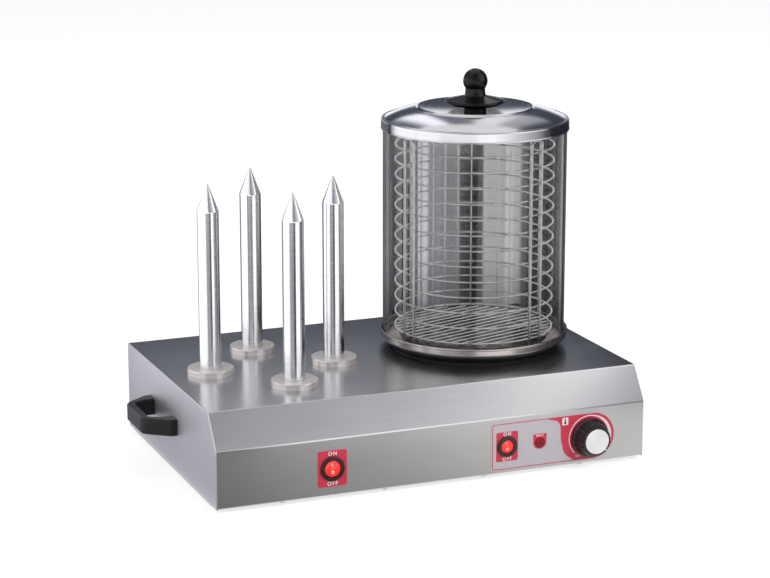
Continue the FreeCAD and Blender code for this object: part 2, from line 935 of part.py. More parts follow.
def thermostat_body():
    half_x = thermostat_width / 2
    half_z = thermostat_height / 2
    box_back = thermostat_front_y + thermostat_depth
    body = block(
        knob_x - half_x, knob_x + half_x, thermostat_front_y, box_back, knob_z - half_z, knob_z + half_z
    )
    cuts = [
        front_rod(
            knob_x,
            knob_z,
            thermostat_front_y - 1,
            thermostat_front_y + shaft_socket_depth,
            shaft_radius + shaft_fit,
        )
    ]
    for x, z in thermostat_screws:
        end = front_y + screw_length
        cuts.append(front_rod(x, z, thermostat_front_y - 1, end, screw_radius + 0.1))
    blades = []
    for side in (-1, 1):
        blade_x = knob_x + side * thermostat_width / 4
        blades.append(
            block(
                blade_x - blade_width / 2,
                blade_x + blade_width / 2,
                box_back,
                box_back + blade_length,
                knob_z - blade_sheet / 2,
                knob_z + blade_sheet / 2,
            )
        )
    return body.cut(cuts).fuse(blades)


# Shaft with a flat, turned with the knob
def thermostat_shaft():
    end = knob_back_y - shaft_grip
    shaft = front_rod(knob_x, knob_z, end, thermostat_front_y + shaft_socket_depth - seat_gap, shaft_radius)
    flat = block(
        knob_x - shaft_radius,
        knob_x + shaft_radius,
        end - 1,
        knob_back_y,
        knob_z + shaft_radius - shaft_flat,
        knob_z + shaft_radius + 1,
    )
    return shaft.cut(flat)


def thermostat_screw_set():
    screws = []
    for x, z in thermostat_screws:
        head = front_rod(x, z, label_face_y - screw_head_height, label_face_y, screw_head_radius)
        shank = front_rod(x, z, label_face_y, label_face_y + screw_length - 1, screw_radius)
        screws.append(head.fuse(shank).removeSplitter())
    return group(screws)


# Hollow fluted knob with a boss that grips the shaft's flat
def thermostat_knob():
    outline = [
        (0, 0),
        (knob_base_radius, 0),
        (knob_base_radius, knob_skirt),
        (knob_base_radius - 1.5, knob_skirt + 0.8),
        (knob_front_radius, knob_depth),
        (0, knob_depth),
    ]
    knob = turned(outline, Vector(0, 0, 0), [0, 0.8, 0.8, 0.8, 1.2, 0])
    flutes = []
    for number in range(knob_flute_count):
        turn = math.radians(360.0 * number / knob_flute_count)
        reach_low = knob_base_radius - 1.5 + knob_flute_radius * 0.5
        reach_high = knob_front_radius + knob_flute_radius * 0.5
        low = Vector(reach_low * math.cos(turn), reach_low * math.sin(turn), knob_skirt + 1.0)
        high = Vector(reach_high * math.cos(turn), reach_high * math.sin(turn), knob_depth)
        flutes.append(rod(low, low + (high - low) * 1.2, knob_flute_radius))
    knob = knob.cut(flutes)
    cap_seat = pillar(0, 0, knob_depth - knob_cap_height, knob_depth + 1, knob_cap_radius)
    boss_radius = shaft_radius + knob_shell
    hollow = pillar(0, 0, -1, knob_depth - knob_cap_height - knob_shell, knob_front_radius - knob_shell)
    screw_room = pillar(0, 0, -1, screw_head_height + knob_gap / 2, knob_base_radius - knob_skirt_wall)
    boss = pillar(0, 0, -1, knob_depth, boss_radius)
    bore = pillar(0, 0, -1, shaft_grip, shaft_radius)
    key = block(
        -shaft_radius, shaft_radius, shaft_radius - shaft_flat, shaft_radius + 1, -1, shaft_grip
    )
    knob = knob.cut([cap_seat, hollow.fuse(screw_room).cut(boss), bore.cut(key)])
    knob.Placement = Placement(Vector(knob_x, knob_back_y, knob_z), Rotation(Vector(1, 0, 0), 90))
    return knob


def knob_cap():
    end = knob_front_y + knob_cap_height
    cap = front_rod(knob_x, knob_z, knob_front_y - 0.6, end, knob_cap_radius)
    front = [edge for edge in cap.Edges if front_edge(edge) and edge.BoundBox.YMax < knob_front_y]
    return cap.makeFillet(0.5, front)


# Sensing bulb beside the well and its thin copper tube to the thermostat
def capillary():
    bulb_reach = well_outside_radius + bulb_gap + bulb_radius
    bulb_z = well_low_z + bulb_lift
    foot = polar(bulb_reach, bulb_angle, 0)
    start = Vector(knob_x, thermostat_front_y + thermostat_depth, knob_z - thermostat_height / 3)
    bulb_end = Vector(foot.x, foot.y, bulb_z + bulb_length / 2)
    bulb = rod(Vector(foot.x, foot.y, bulb_z), bulb_end, bulb_radius)
    knee = Vector(start.x, start.y + capillary_knee, start.z)
    low = Vector(foot.x, foot.y, start.z)
    tube = bent_tube([start, knee, low, Vector(foot.x, foot.y, bulb_z)], capillary_bend, capillary_radius)
    return bulb.fuse(tube)


# Cable gland in the back wall: domed nut outside, thread and lock nut inside
def cable_gland():
    outside = back_y + gland_head
    start = Vector(gland_x, back_y, gland_z)
    head = hexagon(start, Vector(gland_x, outside, gland_z), gland_flats)
    thread_end = back_y - sheet - gland_thread_length
    thread = front_rod(gland_x, gland_z, thread_end, back_y, gland_thread_radius)
    dome = Part.makeCone(
        gland_flats / 2 - 1,
        gland_bore_radius + 2,
        gland_dome,
        Vector(gland_x, outside, gland_z),
        Vector(0, 1, 0),
    )
    bore = front_rod(gland_x, gland_z, thread_end - 1, outside + gland_dome + 1, gland_bore_radius)
    return head.fuse([thread, dome]).cut(bore).removeSplitter()


def gland_nut():
    end = Vector(gland_x, back_y - sheet, gland_z)
    start = Vector(gland_x, back_y - sheet - gland_nut_height, gland_z)
    nut = hexagon(start, end, gland_flats)
    hole = front_rod(gland_x, gland_z, start.y - 1, end.y + 1, gland_thread_radius + 0.1)
    return nut.cut(hole)


# Bonding stud with a nut on each side of the back wall
def earth_stud():
    x = gland_x + earth_offset
    stud = front_rod(x, gland_z, back_y - sheet - earth_inside, back_y + earth_tail, earth_radius)
    outer = hexagon(
        Vector(x, back_y, gland_z), Vector(x, back_y + earth_nut_height, gland_z), earth_nut_flats
    )
    inner = hexagon(
        Vector(x, back_y - sheet - earth_nut_height, gland_z),
        Vector(x, back_y - sheet, gland_z),
        earth_nut_flats,
    )
    return stud.fuse([outer, inner]).removeSplitter()


def terminal_block():
    x = gland_x
    y = terminal_y
    body = block(
        x - terminal_length / 2,
        x + terminal_length / 2,
        y - terminal_depth / 2,
        y + terminal_depth / 2,
        base_top_z,
        base_top_z + terminal_height,
    )
    cuts = []
    block_top_z = base_top_z + terminal_height
    for pole in range(terminal_poles):
        pole_x = x + terminal_length * ((pole + 0.5) / terminal_poles - 0.5)
        cuts.append(
            pillar(pole_x, y, base_top_z + terminal_height / 2, block_top_z + 1, terminal_hole_radius)
        )
        cuts.append(
            front_rod(
                pole_x,
                base_top_z + terminal_height / 2,
                y - terminal_depth,
                y + terminal_depth,
                terminal_hole_radius,
            )
        )
    return body.cut(cuts)


glass_low_z = ledge_z + seat_gap
glass_top_z = glass_low_z + glass_height


def glass_cylinder():
    outline = [
        (glass_radius - glass_wall, glass_low_z),
        (glass_radius, glass_low_z),
        (glass_radius, glass_top_z),
        (glass_radius - glass_wall, glass_top_z),
    ]
    return turned(outline, tower, [0.8, 0.8, 0.8, 0.8])


basket_low_z = ledge_z + seat_gap
first_ring_z = basket_low_z + ring_lift
last_ring_z = first_ring_z + ring_pitch * (ring_count - 1)


def basket_rings():
    rings = []
    for number in range(ring_count):
        z = first_ring_z + ring_pitch * number
        rings.append(Part.makeTorus(ring_radius, ring_wire, tower + Vector(0, 0, z)))
    return group(rings)


# Four upright loops welded outside the rings, their feet on the ledge
def basket_loops():
    reach = ring_radius + ring_wire + loop_wire
    top = last_ring_z + loop_rise
    loops = []
    for turn in (loop_angle_a, loop_angle_b, loop_angle_a + 180, loop_angle_b + 180):
        half = math.degrees(math.asin(loop_width / 2 / reach))
        points = [
            polar(reach, turn - half, basket_low_z),
            polar(reach, turn - half, top),
            polar(reach, turn + half, top),
            polar(reach, turn + half, basket_low_z),
        ]
        loops.append(bent_tube(points, loop_bend, loop_wire))
    return group(loops)


# Floor grid: long wires under the lowest ring on two cross bars
def basket_floor():
    wires = []
    wire_z = first_ring_z - ring_wire - floor_wire
    half_count = int((ring_radius - ring_wire) / floor_pitch)
    for number in range(-half_count, half_count + 1):
        away = number * floor_pitch
        half = math.sqrt(ring_radius**2 - away**2)
        start = Vector(-half, away, wire_z)
        end = Vector(half, away, wire_z)
        wires.append(rod(start, end, floor_wire))
    bar_z = wire_z - 2 * floor_wire
    for side in (-1, 1):
        away = side * floor_bar_reach
        half = math.sqrt(ring_radius**2 - away**2) - floor_wire
        wires.append(rod(Vector(away, -half, bar_z), Vector(away, half, bar_z), floor_wire))
    for wire in wires:
        wire.rotate(Vector(0, 0, 0), up, floor_angle)
        wire.translate(tower)
    return group(wires)


def basket_back_wires():
    reach = ring_radius - ring_wire - back_wire
    wires = []
    for number in range(back_wire_count):
        turn = back_angle + back_wire_angle * (number - (back_wire_count - 1) / 2)
        start = polar(reach, turn, first_ring_z - ring_wire)
        end = polar(reach, turn, last_ring_z + ring_wire)
        wires.append(rod(start, end, back_wire))
    return group(wires)


lid_inner_z = glass_top_z + seat_gap
lid_rim_z = lid_inner_z + lid_sheet
lid_step_z = lid_rim_z + lid_dome_rise
lid_crown_z = lid_step_z + lid_step_height - lid_dish_depth


# Spun lid: skirt with a rolled edge, a domed shoulder, a step and a shallow dish for the knob
def lid_cover():
    inner_radius = lid_radius - lid_sheet
    skirt_z = lid_rim_z - lid_skirt
    outer = [
        Vector(lid_radius, 0, skirt_z),
        Vector(lid_radius, 0, lid_rim_z),
        Vector(lid_radius - lid_shoulder, 0, lid_rim_z),
    ]
    edges = rounded_wire(outer, [0, 1.6, 0], False)
    start = outer[-1]
    step_foot = Vector(lid_step_radius + lid_step_height, 0, lid_step_z)
    bulge = Vector((start.x + step_foot.x) / 2, 0, (start.z + step_foot.z) / 2 + lid_dome_rise * 0.14)
    edges.append(Part.Arc(start, bulge, step_foot).toShape())
    step_top = Vector(lid_step_radius, 0, lid_step_z + lid_step_height)
    edges.append(Part.makeLine(step_foot, step_top))
    crown = Vector(0, 0, lid_crown_z)
    crown_middle = Vector(lid_step_radius / 2, 0, step_top.z - lid_dish_depth * 0.75)
    edges.append(Part.Arc(step_top, crown_middle, crown).toShape())
    drop = Vector(0, 0, -lid_sheet)
    under_start = Vector(lid_radius - lid_shoulder, 0, lid_rim_z - lid_sheet)
    under_foot = step_foot + drop
    under_top = step_top + drop
    edges.append(Part.Arc(under_start, bulge + drop, under_foot).toShape())
    edges.append(Part.makeLine(under_foot, under_top))
    edges.append(Part.Arc(under_top, crown_middle + drop, crown + drop).toShape())
    inner = [
        Vector(inner_radius, 0, skirt_z),
        Vector(inner_radius, 0, lid_rim_z - lid_sheet),
        under_start,
    ]
    edges += rounded_wire(inner, [0, 0.6, 0], False)
    edges.append(Part.makeLine(outer[0], inner[0]))
    edges.append(Part.makeLine(crown, crown + drop))
    face = Part.Face(Part.Wire(Part.__sortEdges__(edges)))
    shell = face.revolve(Vector(0, 0, 0), up, 360)
    shell.translate(tower)
    bead_centre = Vector(lid_radius - lid_sheet / 2, 0, skirt_z)
    bead = Part.Face(Part.Wire(Part.makeCircle(lid_bead, bead_centre, Vector(0, 1, 0))))
    bead = bead.revolve(Vector(0, 0, 0), up, 360)
    bead.translate(tower)
    vent = polar(lid_vent_reach, lid_vent_angle, 0)
    hole_top_z = lid_step_z + lid_step_height + 1
    hole = pillar(tower_x, tower_y, lid_inner_z, hole_top_z, lid_hole_radius)
    vent_hole = pillar(vent.x, vent.y, lid_inner_z, hole_top_z, lid_vent_radius)
    return shell.fuse(bead).cut([hole, vent_hole]).removeSplitter()


hub_seat_z = lid_crown_z + lid_dish_depth * (saucer_hub_radius / lid_step_radius) ** 2
saucer_low_z = lid_crown_z + saucer_lift
saucer_top_z = saucer_low_z + saucer_rim
saucer_cone_z = saucer_top_z + saucer_cone
ball_z = saucer_cone_z + neck_height + ball_radius * 0.75


# Black knob turned in one piece: hub, bowl-shaped saucer with a conical top, neck and ball
def lid_knob():
    points = [
        Vector(0, 0, hub_seat_z),
        Vector(saucer_hub_radius, 0, hub_seat_z),
        Vector(saucer_hub_radius, 0, saucer_low_z),
        Vector(saucer_radius - saucer_rim, 0, saucer_low_z + 0.5),
        Vector(saucer_radius, 0, saucer_low_z + saucer_rim * 0.65),
        Vector(saucer_radius - 1.5, 0, saucer_top_z),
        Vector(neck_radius + 1, 0, saucer_cone_z),
    ]
    join = math.asin(min(neck_radius / ball_radius, 0.95))
    neck_top = Vector(neck_radius, 0, ball_z - ball_radius * math.cos(join))
    edges = rounded_wire(points, [0, 0.8, 0.6, 3.0, 1.4, 1.2, 0], False)
    middle_z = (points[-1].z + neck_top.z) / 2
    edges.append(Part.Arc(points[-1], Vector(neck_radius + 0.3, 0, middle_z), neck_top).toShape())
    apex = Vector(0, 0, ball_z + ball_radius)
    side_point = Vector(ball_radius, 0, ball_z)
    edges.append(Part.Arc(neck_top, side_point, apex).toShape())
    edges.append(Part.makeLine(points[0], apex))
    face = Part.Face(Part.Wire(Part.__sortEdges__(edges)))
    knob = face.revolve(Vector(0, 0, 0), up, 360)
    knob.translate(tower)
    bore_top = lid_crown_z + lid_screw_grip
    return knob.cut(pillar(tower_x, tower_y, lid_crown_z - 1, bore_top, lid_screw_radius + lid_screw_fit))


def lid_screw():
    under_z = lid_crown_z - lid_sheet - 0.05
    head = pillar(tower_x, tower_y, under_z - lid_screw_head_height, under_z, lid_screw_head_radius)
    lower = [edge for edge in head.Edges if edge.Closed and edge.BoundBox.ZMax < under_z - 1]
    head = head.makeChamfer(0.8, lower)
    shank = pillar(tower_x, tower_y, under_z, lid_crown_z + lid_screw_grip - 1, lid_screw_radius)
    return head.fuse(shank).removeSplitter()


# Write every sub-part
save("housing_wrap", housing_wrap())
save("side_panel_left", side_panel(-1))
save("side_panel_right", side_panel(1))
save("base_plate", base_plate())
for name, (x, y) in foot_places.items():
    save("foot_" + name, foot(x, y))
save("foot_screws", foot_screws())
save("base_screws", base_screws())
save("handle_left", handle(-1))
save("handle_right", handle(1))
save("handle_bolts", handle_bolts())
for name, (x, y) in spike_places.items():
    save("spike_" + name, spike(x, y))
    save("spike_flange_" + name, spike_flange(x, y))
    save("spike_heater_" + name, spike_heater(x, y))
save("spike_nuts", spike_nuts())
save("water_basin", water_basin())
save("basin_collar", basin_collar())
save("basin_gasket", basin_gasket())
save("heating_element", heating_element())
save("heater_clamp", heater_clamp())
save("clamp_nut", clamp_nut())
save("thermal_cutout", thermal_cutout())
save("left_label", left_label())
save("control_panel", control_panel())
for name, (x, z, bezel_radius) in switches.items():
    save("switch_body_" + name, switch_body(x, z, bezel_radius))
    save("rocker_" + name, rocker(x, z, bezel_radius))
save("switch_terminals", switch_terminals())
save("lamp_body", lamp_body())
save("lamp_lens", lamp_lens())
save("thermostat_body", thermostat_body())
save("thermostat_shaft", thermostat_shaft())
save("thermostat_screws", thermostat_screw_set())
save("thermostat_knob", thermostat_knob())
save("knob_cap", knob_cap())
save("capillary", capillary())
save("cable_gland", cable_gland())
save("gland_nut", gland_nut())
save("earth_stud", earth_stud())
save("terminal_block", terminal_block())
save("glass_cylinder", glass_cylinder())
save("basket_rings", basket_rings())
save("basket_loops", basket_loops())
save("basket_floor", basket_floor())
save("basket_back_wires", basket_back_wires())
save("lid_cover", lid_cover())
save("lid_knob", lid_knob())
save("lid_screw", lid_screw())
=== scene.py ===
import math

import bmesh
import bpy
from mathutils import Matrix, Vector
from mathutils.bvhtree import BVHTree


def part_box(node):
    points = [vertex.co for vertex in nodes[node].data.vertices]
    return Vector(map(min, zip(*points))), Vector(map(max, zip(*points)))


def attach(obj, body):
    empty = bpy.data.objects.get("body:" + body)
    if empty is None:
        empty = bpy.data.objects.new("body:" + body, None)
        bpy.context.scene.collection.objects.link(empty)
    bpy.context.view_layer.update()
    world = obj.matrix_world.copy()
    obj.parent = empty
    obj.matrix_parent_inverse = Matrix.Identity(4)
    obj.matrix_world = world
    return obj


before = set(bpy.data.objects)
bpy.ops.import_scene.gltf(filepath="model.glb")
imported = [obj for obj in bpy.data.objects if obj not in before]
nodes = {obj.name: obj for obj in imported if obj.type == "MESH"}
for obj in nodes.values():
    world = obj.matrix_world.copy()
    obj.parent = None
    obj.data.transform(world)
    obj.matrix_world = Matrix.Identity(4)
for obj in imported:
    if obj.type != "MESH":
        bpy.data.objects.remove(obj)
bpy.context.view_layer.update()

# Base plate, with its screws.
# One sheet of hot-dip galvanised steel that closes the housing from below.
# It lies on the housing's return flanges and is held by zinc-plated pan head screws.
MM = 0.001


def linear(hex_colour):
    """An sRGB hex colour as linear red, green, blue and alpha."""
    channels = [int(hex_colour[i : i + 2], 16) / 255 for i in (1, 3, 5)]
    return [c / 12.92 if c <= 0.04045 else ((c + 0.055) / 1.055) ** 2.4 for c in channels] + [1.0]


def add_node(tree, kind, settings=None, links=None, stops=None):
    """A shader node with its settings, what feeds it, and a ramp's colour stops."""
    node = tree.nodes.new(kind)
    for key, value in (settings or {}).items():
        if isinstance(key, int) or key in node.inputs:
            node.inputs[key].default_value = value
        else:
            setattr(node, key, value)
    for key, source in (links or {}).items():
        tree.links.new(source, node.inputs[key])
    if stops:
        elements = node.color_ramp.elements
        elements[0].position, elements[1].position = stops[0][0], stops[-1][0]
        for place, _ in stops[1:-1]:
            elements.new(place)
        for element, (_, colour) in zip(elements, stops):
            element.color = linear(colour)
    return node


def new_material(name, settings):
    """A material whose plain numbers sit on the shader itself."""
    material = bpy.data.materials.new(name)
    material.use_nodes = True
    tree = material.node_tree
    shader = tree.nodes["Principled BSDF"]
    for key, value in settings.items():
        shader.inputs[key].default_value = value
    return material, tree, shader


# Most of a noise's values lie between these two
noise_low, noise_high = 0.3, 0.7


def noise_cells(tree, size, detail, roughness=0.5):
    """Noise whose cells have a real length, depth and height in millimetres."""
    place = add_node(tree, "ShaderNodeTexCoord")
    scale = [1 / (length * MM) for length in size]
    mapping = add_node(
        tree,
        "ShaderNodeMapping",
        {"vector_type": "POINT", "Scale": scale},
        {"Vector": place.outputs["Object"]},
    )
    return add_node(
        tree,
        "ShaderNodeTexNoise",
        {"Scale": 1.0, "Detail": detail, "Roughness": roughness},
        {"Vector": mapping.outputs["Vector"]},
    )


def vary(tree, shader, noise, colours, spread, bump):
    """Lets a noise set the shader's colour and fine relief, and gives back a roughness.

    colours and spread are the colours and roughness at the noise's low and high ends, and
    bump is the relief's height in millimetres."""
    grain = noise.outputs["Fac"]
    stops = list(zip((noise_low, noise_high), colours))
    tint = add_node(tree, "ShaderNodeValToRGB", {}, {"Fac": grain}, stops)
    tree.links.new(tint.outputs["Color"], shader.inputs["Base Color"])
    relief = add_node(tree, "ShaderNodeBump", {"Strength": 1.0, "Distance": bump * MM}, {"Height": grain})
    tree.links.new(relief.outputs["Normal"], shader.inputs["Normal"])
    rough = add_node(
        tree,
        "ShaderNodeMapRange",
        {"From Min": noise_low, "From Max": noise_high, "To Min": spread[0], "To Max": spread[1]},
        {"Value": grain},
    )
    return rough.outputs["Result"]


def grained(name, settings, colours, cell, spread, bump):
    """A finish whose colour, roughness and fine relief follow noise cells of a real size.

    cell is the cell's length, depth and height in millimetres."""
    material, tree, shader = new_material(name, settings)
    rough = vary(tree, shader, noise_cells(tree, cell, 4.0, 0.6), colours, spread, bump)
    tree.links.new(rough, shader.inputs["Roughness"])
    return material


def dress(material, *names):
    """Gives carried-over nodes their finish."""
    for name in names:
        nodes[name].data.materials[0] = material


# Hot-dip galvanised sheet: dull grey zinc with soft cloudy grains about 8 mm wide
galvanised = grained(
    "galvanised_steel_sheet", {"Metallic": 1.0}, ["#8f9496", "#b4b8b9"], (8, 8, 8), (0.38, 0.55), 0.01
)
# Bright zinc plating on small turned steel, with the marks of handling about 2 mm wide
zinc_plated = grained(
    "zinc_plated_steel", {"Metallic": 1.0}, ["#9a9c98", "#c6c8c4"], (2, 2, 2), (0.25, 0.4), 0.01
)
dress(galvanised, "base_plate")
dress(zinc_plated, "base_screws", "foot_screws", "handle_bolts", "spike_nuts", "clamp_nut", "lid_screw")
dress(zinc_plated, "thermostat_screws", "thermostat_shaft")

# Four feet.
# Moulded nitrile rubber pucks, each with a hidden screw in its recess.
# Rubber is near black and matt, with a fine cast skin about 1 mm in grain.
rubber = grained(
    "moulded_nitrile_rubber", {"Metallic": 0.0}, ["#151516", "#232324"], (1, 1, 1), (0.7, 0.85), 0.03
)
dress(rubber, "foot_front_left", "foot_front_right", "foot_back_left", "foot_back_right")

# Housing: one folded sheet for front, slope, top and back, with a side panel at each end.
# Brushed 304 stainless steel, 1.2 mm, the grain running from side to side.
# The fold is bent on a brake and the side panels are spot-welded to it by inner tabs.
grain_sideways, grain_upwards = (1, 0, 0), (0, 0, 1)
line_depth = 0.0002
cloud_spread = 0.02


def brushed(name, colours, along, cell, spread, stretch, cloud):
    """Brushed metal: fine lines along the grain, over clouds where the belt pressed unevenly.

    Highlights stretch across the grain; cloud is the cloud's length, depth and height."""
    material = grained(name, {"Metallic": 1.0, "Anisotropic": stretch}, colours, cell, spread, line_depth)
    tree = material.node_tree
    shader = tree.nodes["Principled BSDF"]
    clouds = noise_cells(tree, cloud, 2.0)
    uneven = add_node(
        tree,
        "ShaderNodeMapRange",
        {"From Min": noise_low, "From Max": noise_high, "To Min": -cloud_spread, "To Max": cloud_spread},
        {"Value": clouds.outputs["Fac"]},
    )
    lines = shader.inputs["Roughness"].links[0].from_socket
    rough = add_node(tree, "ShaderNodeMath", {"operation": "ADD"}, {0: lines, 1: uneven.outputs["Result"]})
    tree.links.new(rough.outputs["Value"], shader.inputs["Roughness"])
    surface = add_node(tree, "ShaderNodeNewGeometry")
    across = add_node(
        tree,
        "ShaderNodeVectorMath",
        {"operation": "CROSS_PRODUCT", 1: along},
        {0: surface.outputs["True Normal"]},
    )
    tree.links.new(across.outputs["Vector"], shader.inputs["Tangent"])
    return material


# Number 4 brushed stainless: grain lines 0.1 mm wide, drawn 0.5 mm wide so that they show
brushed_steel = brushed(
    "brushed_stainless_steel",
    ["#c2c2c3", "#c7c6c7"],
    grain_sideways,
    (60, 0.5, 0.5),
    (0.22, 0.25),
    0.4,
    (70, 50, 30),
)
# The side panels are brushed upwards before they are welded on, with a duller belt
brushed_side = brushed(
    "brushed_stainless_steel_side",
    ["#bcbbc0", "#c7c6cb"],
    grain_upwards,
    (0.8, 0.8, 60),
    (0.42, 0.48),
    0.3,
    (9, 9, 160),
)
dress(brushed_steel, "housing_wrap")
dress(brushed_side, "side_panel_left", "side_panel_right")

# Side handles.
# Bow handles of black glass-filled nylon, bolted from inside the side panels.
# Moulded with a fine spark-eroded texture, about 0.8 mm in grain, that dulls the gloss.
black_nylon = grained(
    "moulded_black_nylon",
    {"Metallic": 0.0, "IOR": 1.53, "Specular IOR Level": 0.3},
    ["#0e0e0f", "#171718"],
    (0.8, 0.8, 0.8),
    (0.34, 0.44),
    0.015,
)
dress(black_nylon, "handle_left", "handle_right")

# Heated spikes, each in its round flange.
# Pointed bars turned from solid aluminium and polished, bored from below for a heater.
# The flanges are faced on the lathe, which leaves fine rings about the spike.
spike_names = ["left", "right", "front", "rear"]
upright, from_front = (0, 0, 1), (0, 1, 0)
turning_depth = 0.002


def turned_finish(name, colours, centre, ring, spread, stretch, face_rough=0.0, metallic=1.0, axis=upright):
    """Metal finished on a lathe: fine rings about an axis through centre, in millimetres.

    Highlights stretch across the rings; face_rough is what the flat end faces add to the
    roughness, because a facing cut leaves a coarser surface than polishing does."""
    material, tree, shader = new_material(name, {"Metallic": metallic, "Anisotropic": stretch})
    place = add_node(tree, "ShaderNodeTexCoord")
    from_axis = add_node(
        tree,
        "ShaderNodeVectorMath",
        {"operation": "SUBTRACT", 1: [c * MM for c in centre]},
        {0: place.outputs["Object"]},
    )
    flat = add_node(
        tree,
        "ShaderNodeVectorMath",
        {"operation": "MULTIPLY", 1: [1 - part for part in axis]},
        {0: from_axis.outputs["Vector"]},
    )
    reach = add_node(tree, "ShaderNodeVectorMath", {"operation": "LENGTH"}, {0: flat.outputs["Vector"]})
    height = add_node(
        tree, "ShaderNodeVectorMath", {"operation": "DOT_PRODUCT", 1: axis}, {0: from_axis.outputs["Vector"]}
    )
    rings = add_node(
        tree, "ShaderNodeCombineXYZ", {}, {"X": reach.outputs["Value"], "Y": height.outputs["Value"]}
    )
    noise = add_node(
        tree,
        "ShaderNodeTexNoise",
        {"Scale": 1 / (ring * MM), "Detail": 3.0, "Roughness": 0.6},
        {"Vector": rings.outputs["Vector"]},
    )
    rough = vary(tree, shader, noise, colours, spread, turning_depth)
    surface = add_node(tree, "ShaderNodeNewGeometry")
    facing = add_node(
        tree, "ShaderNodeVectorMath", {"operation": "DOT_PRODUCT", 1: axis}, {0: surface.outputs["Normal"]}
    )
    faced = add_node(
        tree,
        "ShaderNodeMapRange",
        {"From Min": 0.9, "From Max": 1.0, "To Min": 0.0, "To Max": face_rough},
        {"Value": facing.outputs["Value"]},
    )
    total = add_node(tree, "ShaderNodeMath", {"operation": "ADD"}, {0: rough, 1: faced.outputs["Result"]})
    tree.links.new(total.outputs["Value"], shader.inputs["Roughness"])
    about = add_node(
        tree, "ShaderNodeVectorMath", {"operation": "CROSS_PRODUCT", 0: axis}, {1: flat.outputs["Vector"]}
    )
    across = add_node(
        tree,
        "ShaderNodeVectorMath",
        {"operation": "CROSS_PRODUCT"},
        {0: surface.outputs["True Normal"], 1: about.outputs["Vector"]},
    )
    tree.links.new(across.outputs["Vector"], shader.inputs["Tangent"])
    return material


# Part of a finish's reflection only, so that it stays pale where it would mirror the dark
partly_metallic = 0.6
for name in spike_names:
    low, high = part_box("spike_flange_" + name)
    centre = (low + high) / 2 / MM
    # Polished aluminium bar: very bright, slightly blurred along its length by the turning
    polished_bar = turned_finish(
        "polished_aluminium_" + name, ["#dcdddf", "#e6e7e9"], centre, 1.2, (0.14, 0.2), 0.8
    )
    # Faced aluminium: warmer and duller than the bar on top, bright round its rim
    faced_bar = turned_finish(
        "faced_aluminium_" + name,
        ["#c9c3c0", "#dcd7d4"],
        centre,
        0.8,
        (0.16, 0.22),
        0.3,
        0.22,
        partly_metallic,
    )
    dress(polished_bar, "spike_" + name)
    dress(faced_bar, "spike_flange_" + name)
    dress(zinc_plated, "spike_heater_" + name)

# Water basin, its collar and its gasket.
# The basin is deep-drawn stainless steel with a rolled rim; it rests on a curved collar of
# black enamelled steel, and a silicone gasket seals the collar to the housing's top.
low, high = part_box("water_basin")
tower_axis = (low + high) / 2 / MM
# Drawn stainless steel: rings of polishing 1.4 mm apart over a slightly browned grey
drawn_steel = turned_finish(
    "drawn_stainless_steel", ["#b3adaa", "#c6c0bd"], tower_axis, 1.4, (0.22, 0.3), 0.4, 0.1
)
dress(drawn_steel, "water_basin")
# Vitreous enamel, near black, with the slight orange peel of a fired coat, 3 mm across; its near-black colour
# is also painted shade, standing in for the shadow under the basin's rim
enamel_and_painted_shade = grained(
    "black_enamel_and_painted_shade",
    {"Metallic": 0.0, "IOR": 1.5},
    ["#131212", "#1d1b1b"],
    (3, 3, 3),
    (0.16, 0.24),
    0.01,
)
dress(enamel_and_painted_shade, "basin_collar")
# Moulded silicone: near black, soft sheen, cast skin with a 2 mm mottle; its near-black colour is also
# painted shade for the shadow gap between the collar and the housing
silicone_and_painted_shade = grained(
    "moulded_silicone_and_painted_shade", {"Metallic": 0.0, "IOR": 1.41}, ["#111112", "#1b1b1c"], (2, 2, 2), (0.5, 0.6), 0.02
)
dress(silicone_and_painted_shade, "basin_gasket")

# Heating under the basin.
# A sheathed element pressed up by a steel plate on the basin's stud, and a thermal cut-out.
# The sheath is oxidised steel, dark brown grey, with blotches about 5 mm wide.
oxidised = grained(
    "oxidised_steel_sheath", {"Metallic": 1.0}, ["#4a423c", "#6d645c"], (5, 5, 5), (0.45, 0.65), 0.02
)
# Moulded brown phenolic: dark and half dull, with the fine mottle of its wood filler
phenolic = grained(
    "moulded_phenolic",
    {"Metallic": 0.0, "IOR": 1.6},
    ["#2b211b", "#3a2d25"],
    (1.5, 1.5, 1.5),
    (0.4, 0.5),
    0.02,
)
dress(oxidised, "heating_element")
dress(galvanised, "heater_clamp")
dress(phenolic, "thermal_cutout", "thermostat_body")

# Label plates on the front.
# Printed polyester film, 0.5 mm, stuck to the steel: a red one on the left and a
# silver-lilac one on the right with red and white inks printed on it.
face_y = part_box("left_label")[0].y / MM
ink_lift = 0.05
ink_thickness = 0.9 * ink_lift
# Satin films with a soft 3 mm unevenness; the silver one has a trace of metal in its ink
film_silver = grained(
    "printed_film_silver",
    {"Metallic": 0.25, "IOR": 1.58},
    ["#c3bfc6", "#cbc7ce"],
    (3, 3, 3),
    (0.3, 0.38),
    0.01,
)
film_red = grained(
    "printed_film_red", {"Metallic": 0.0, "IOR": 1.58}, ["#cf2644", "#dc3150"], (3, 3, 3), (0.32, 0.4), 0.01
)
# Screen-printed inks: flat and slightly duller than the film they lie on
ink_white = grained(
    "screen_ink_white", {"Metallic": 0.0, "IOR": 1.5}, ["#efe9ea", "#fbf7f7"], (2, 2, 2), (0.4, 0.5), 0.005
)
ink_dark = grained(
    "screen_ink_dark_red", {"Metallic": 0.0, "IOR": 1.5}, ["#8c1a30", "#9c2038"], (2, 2, 2), (0.4, 0.5), 0.005
)
dress(film_red, "left_label")
dress(film_silver, "control_panel")


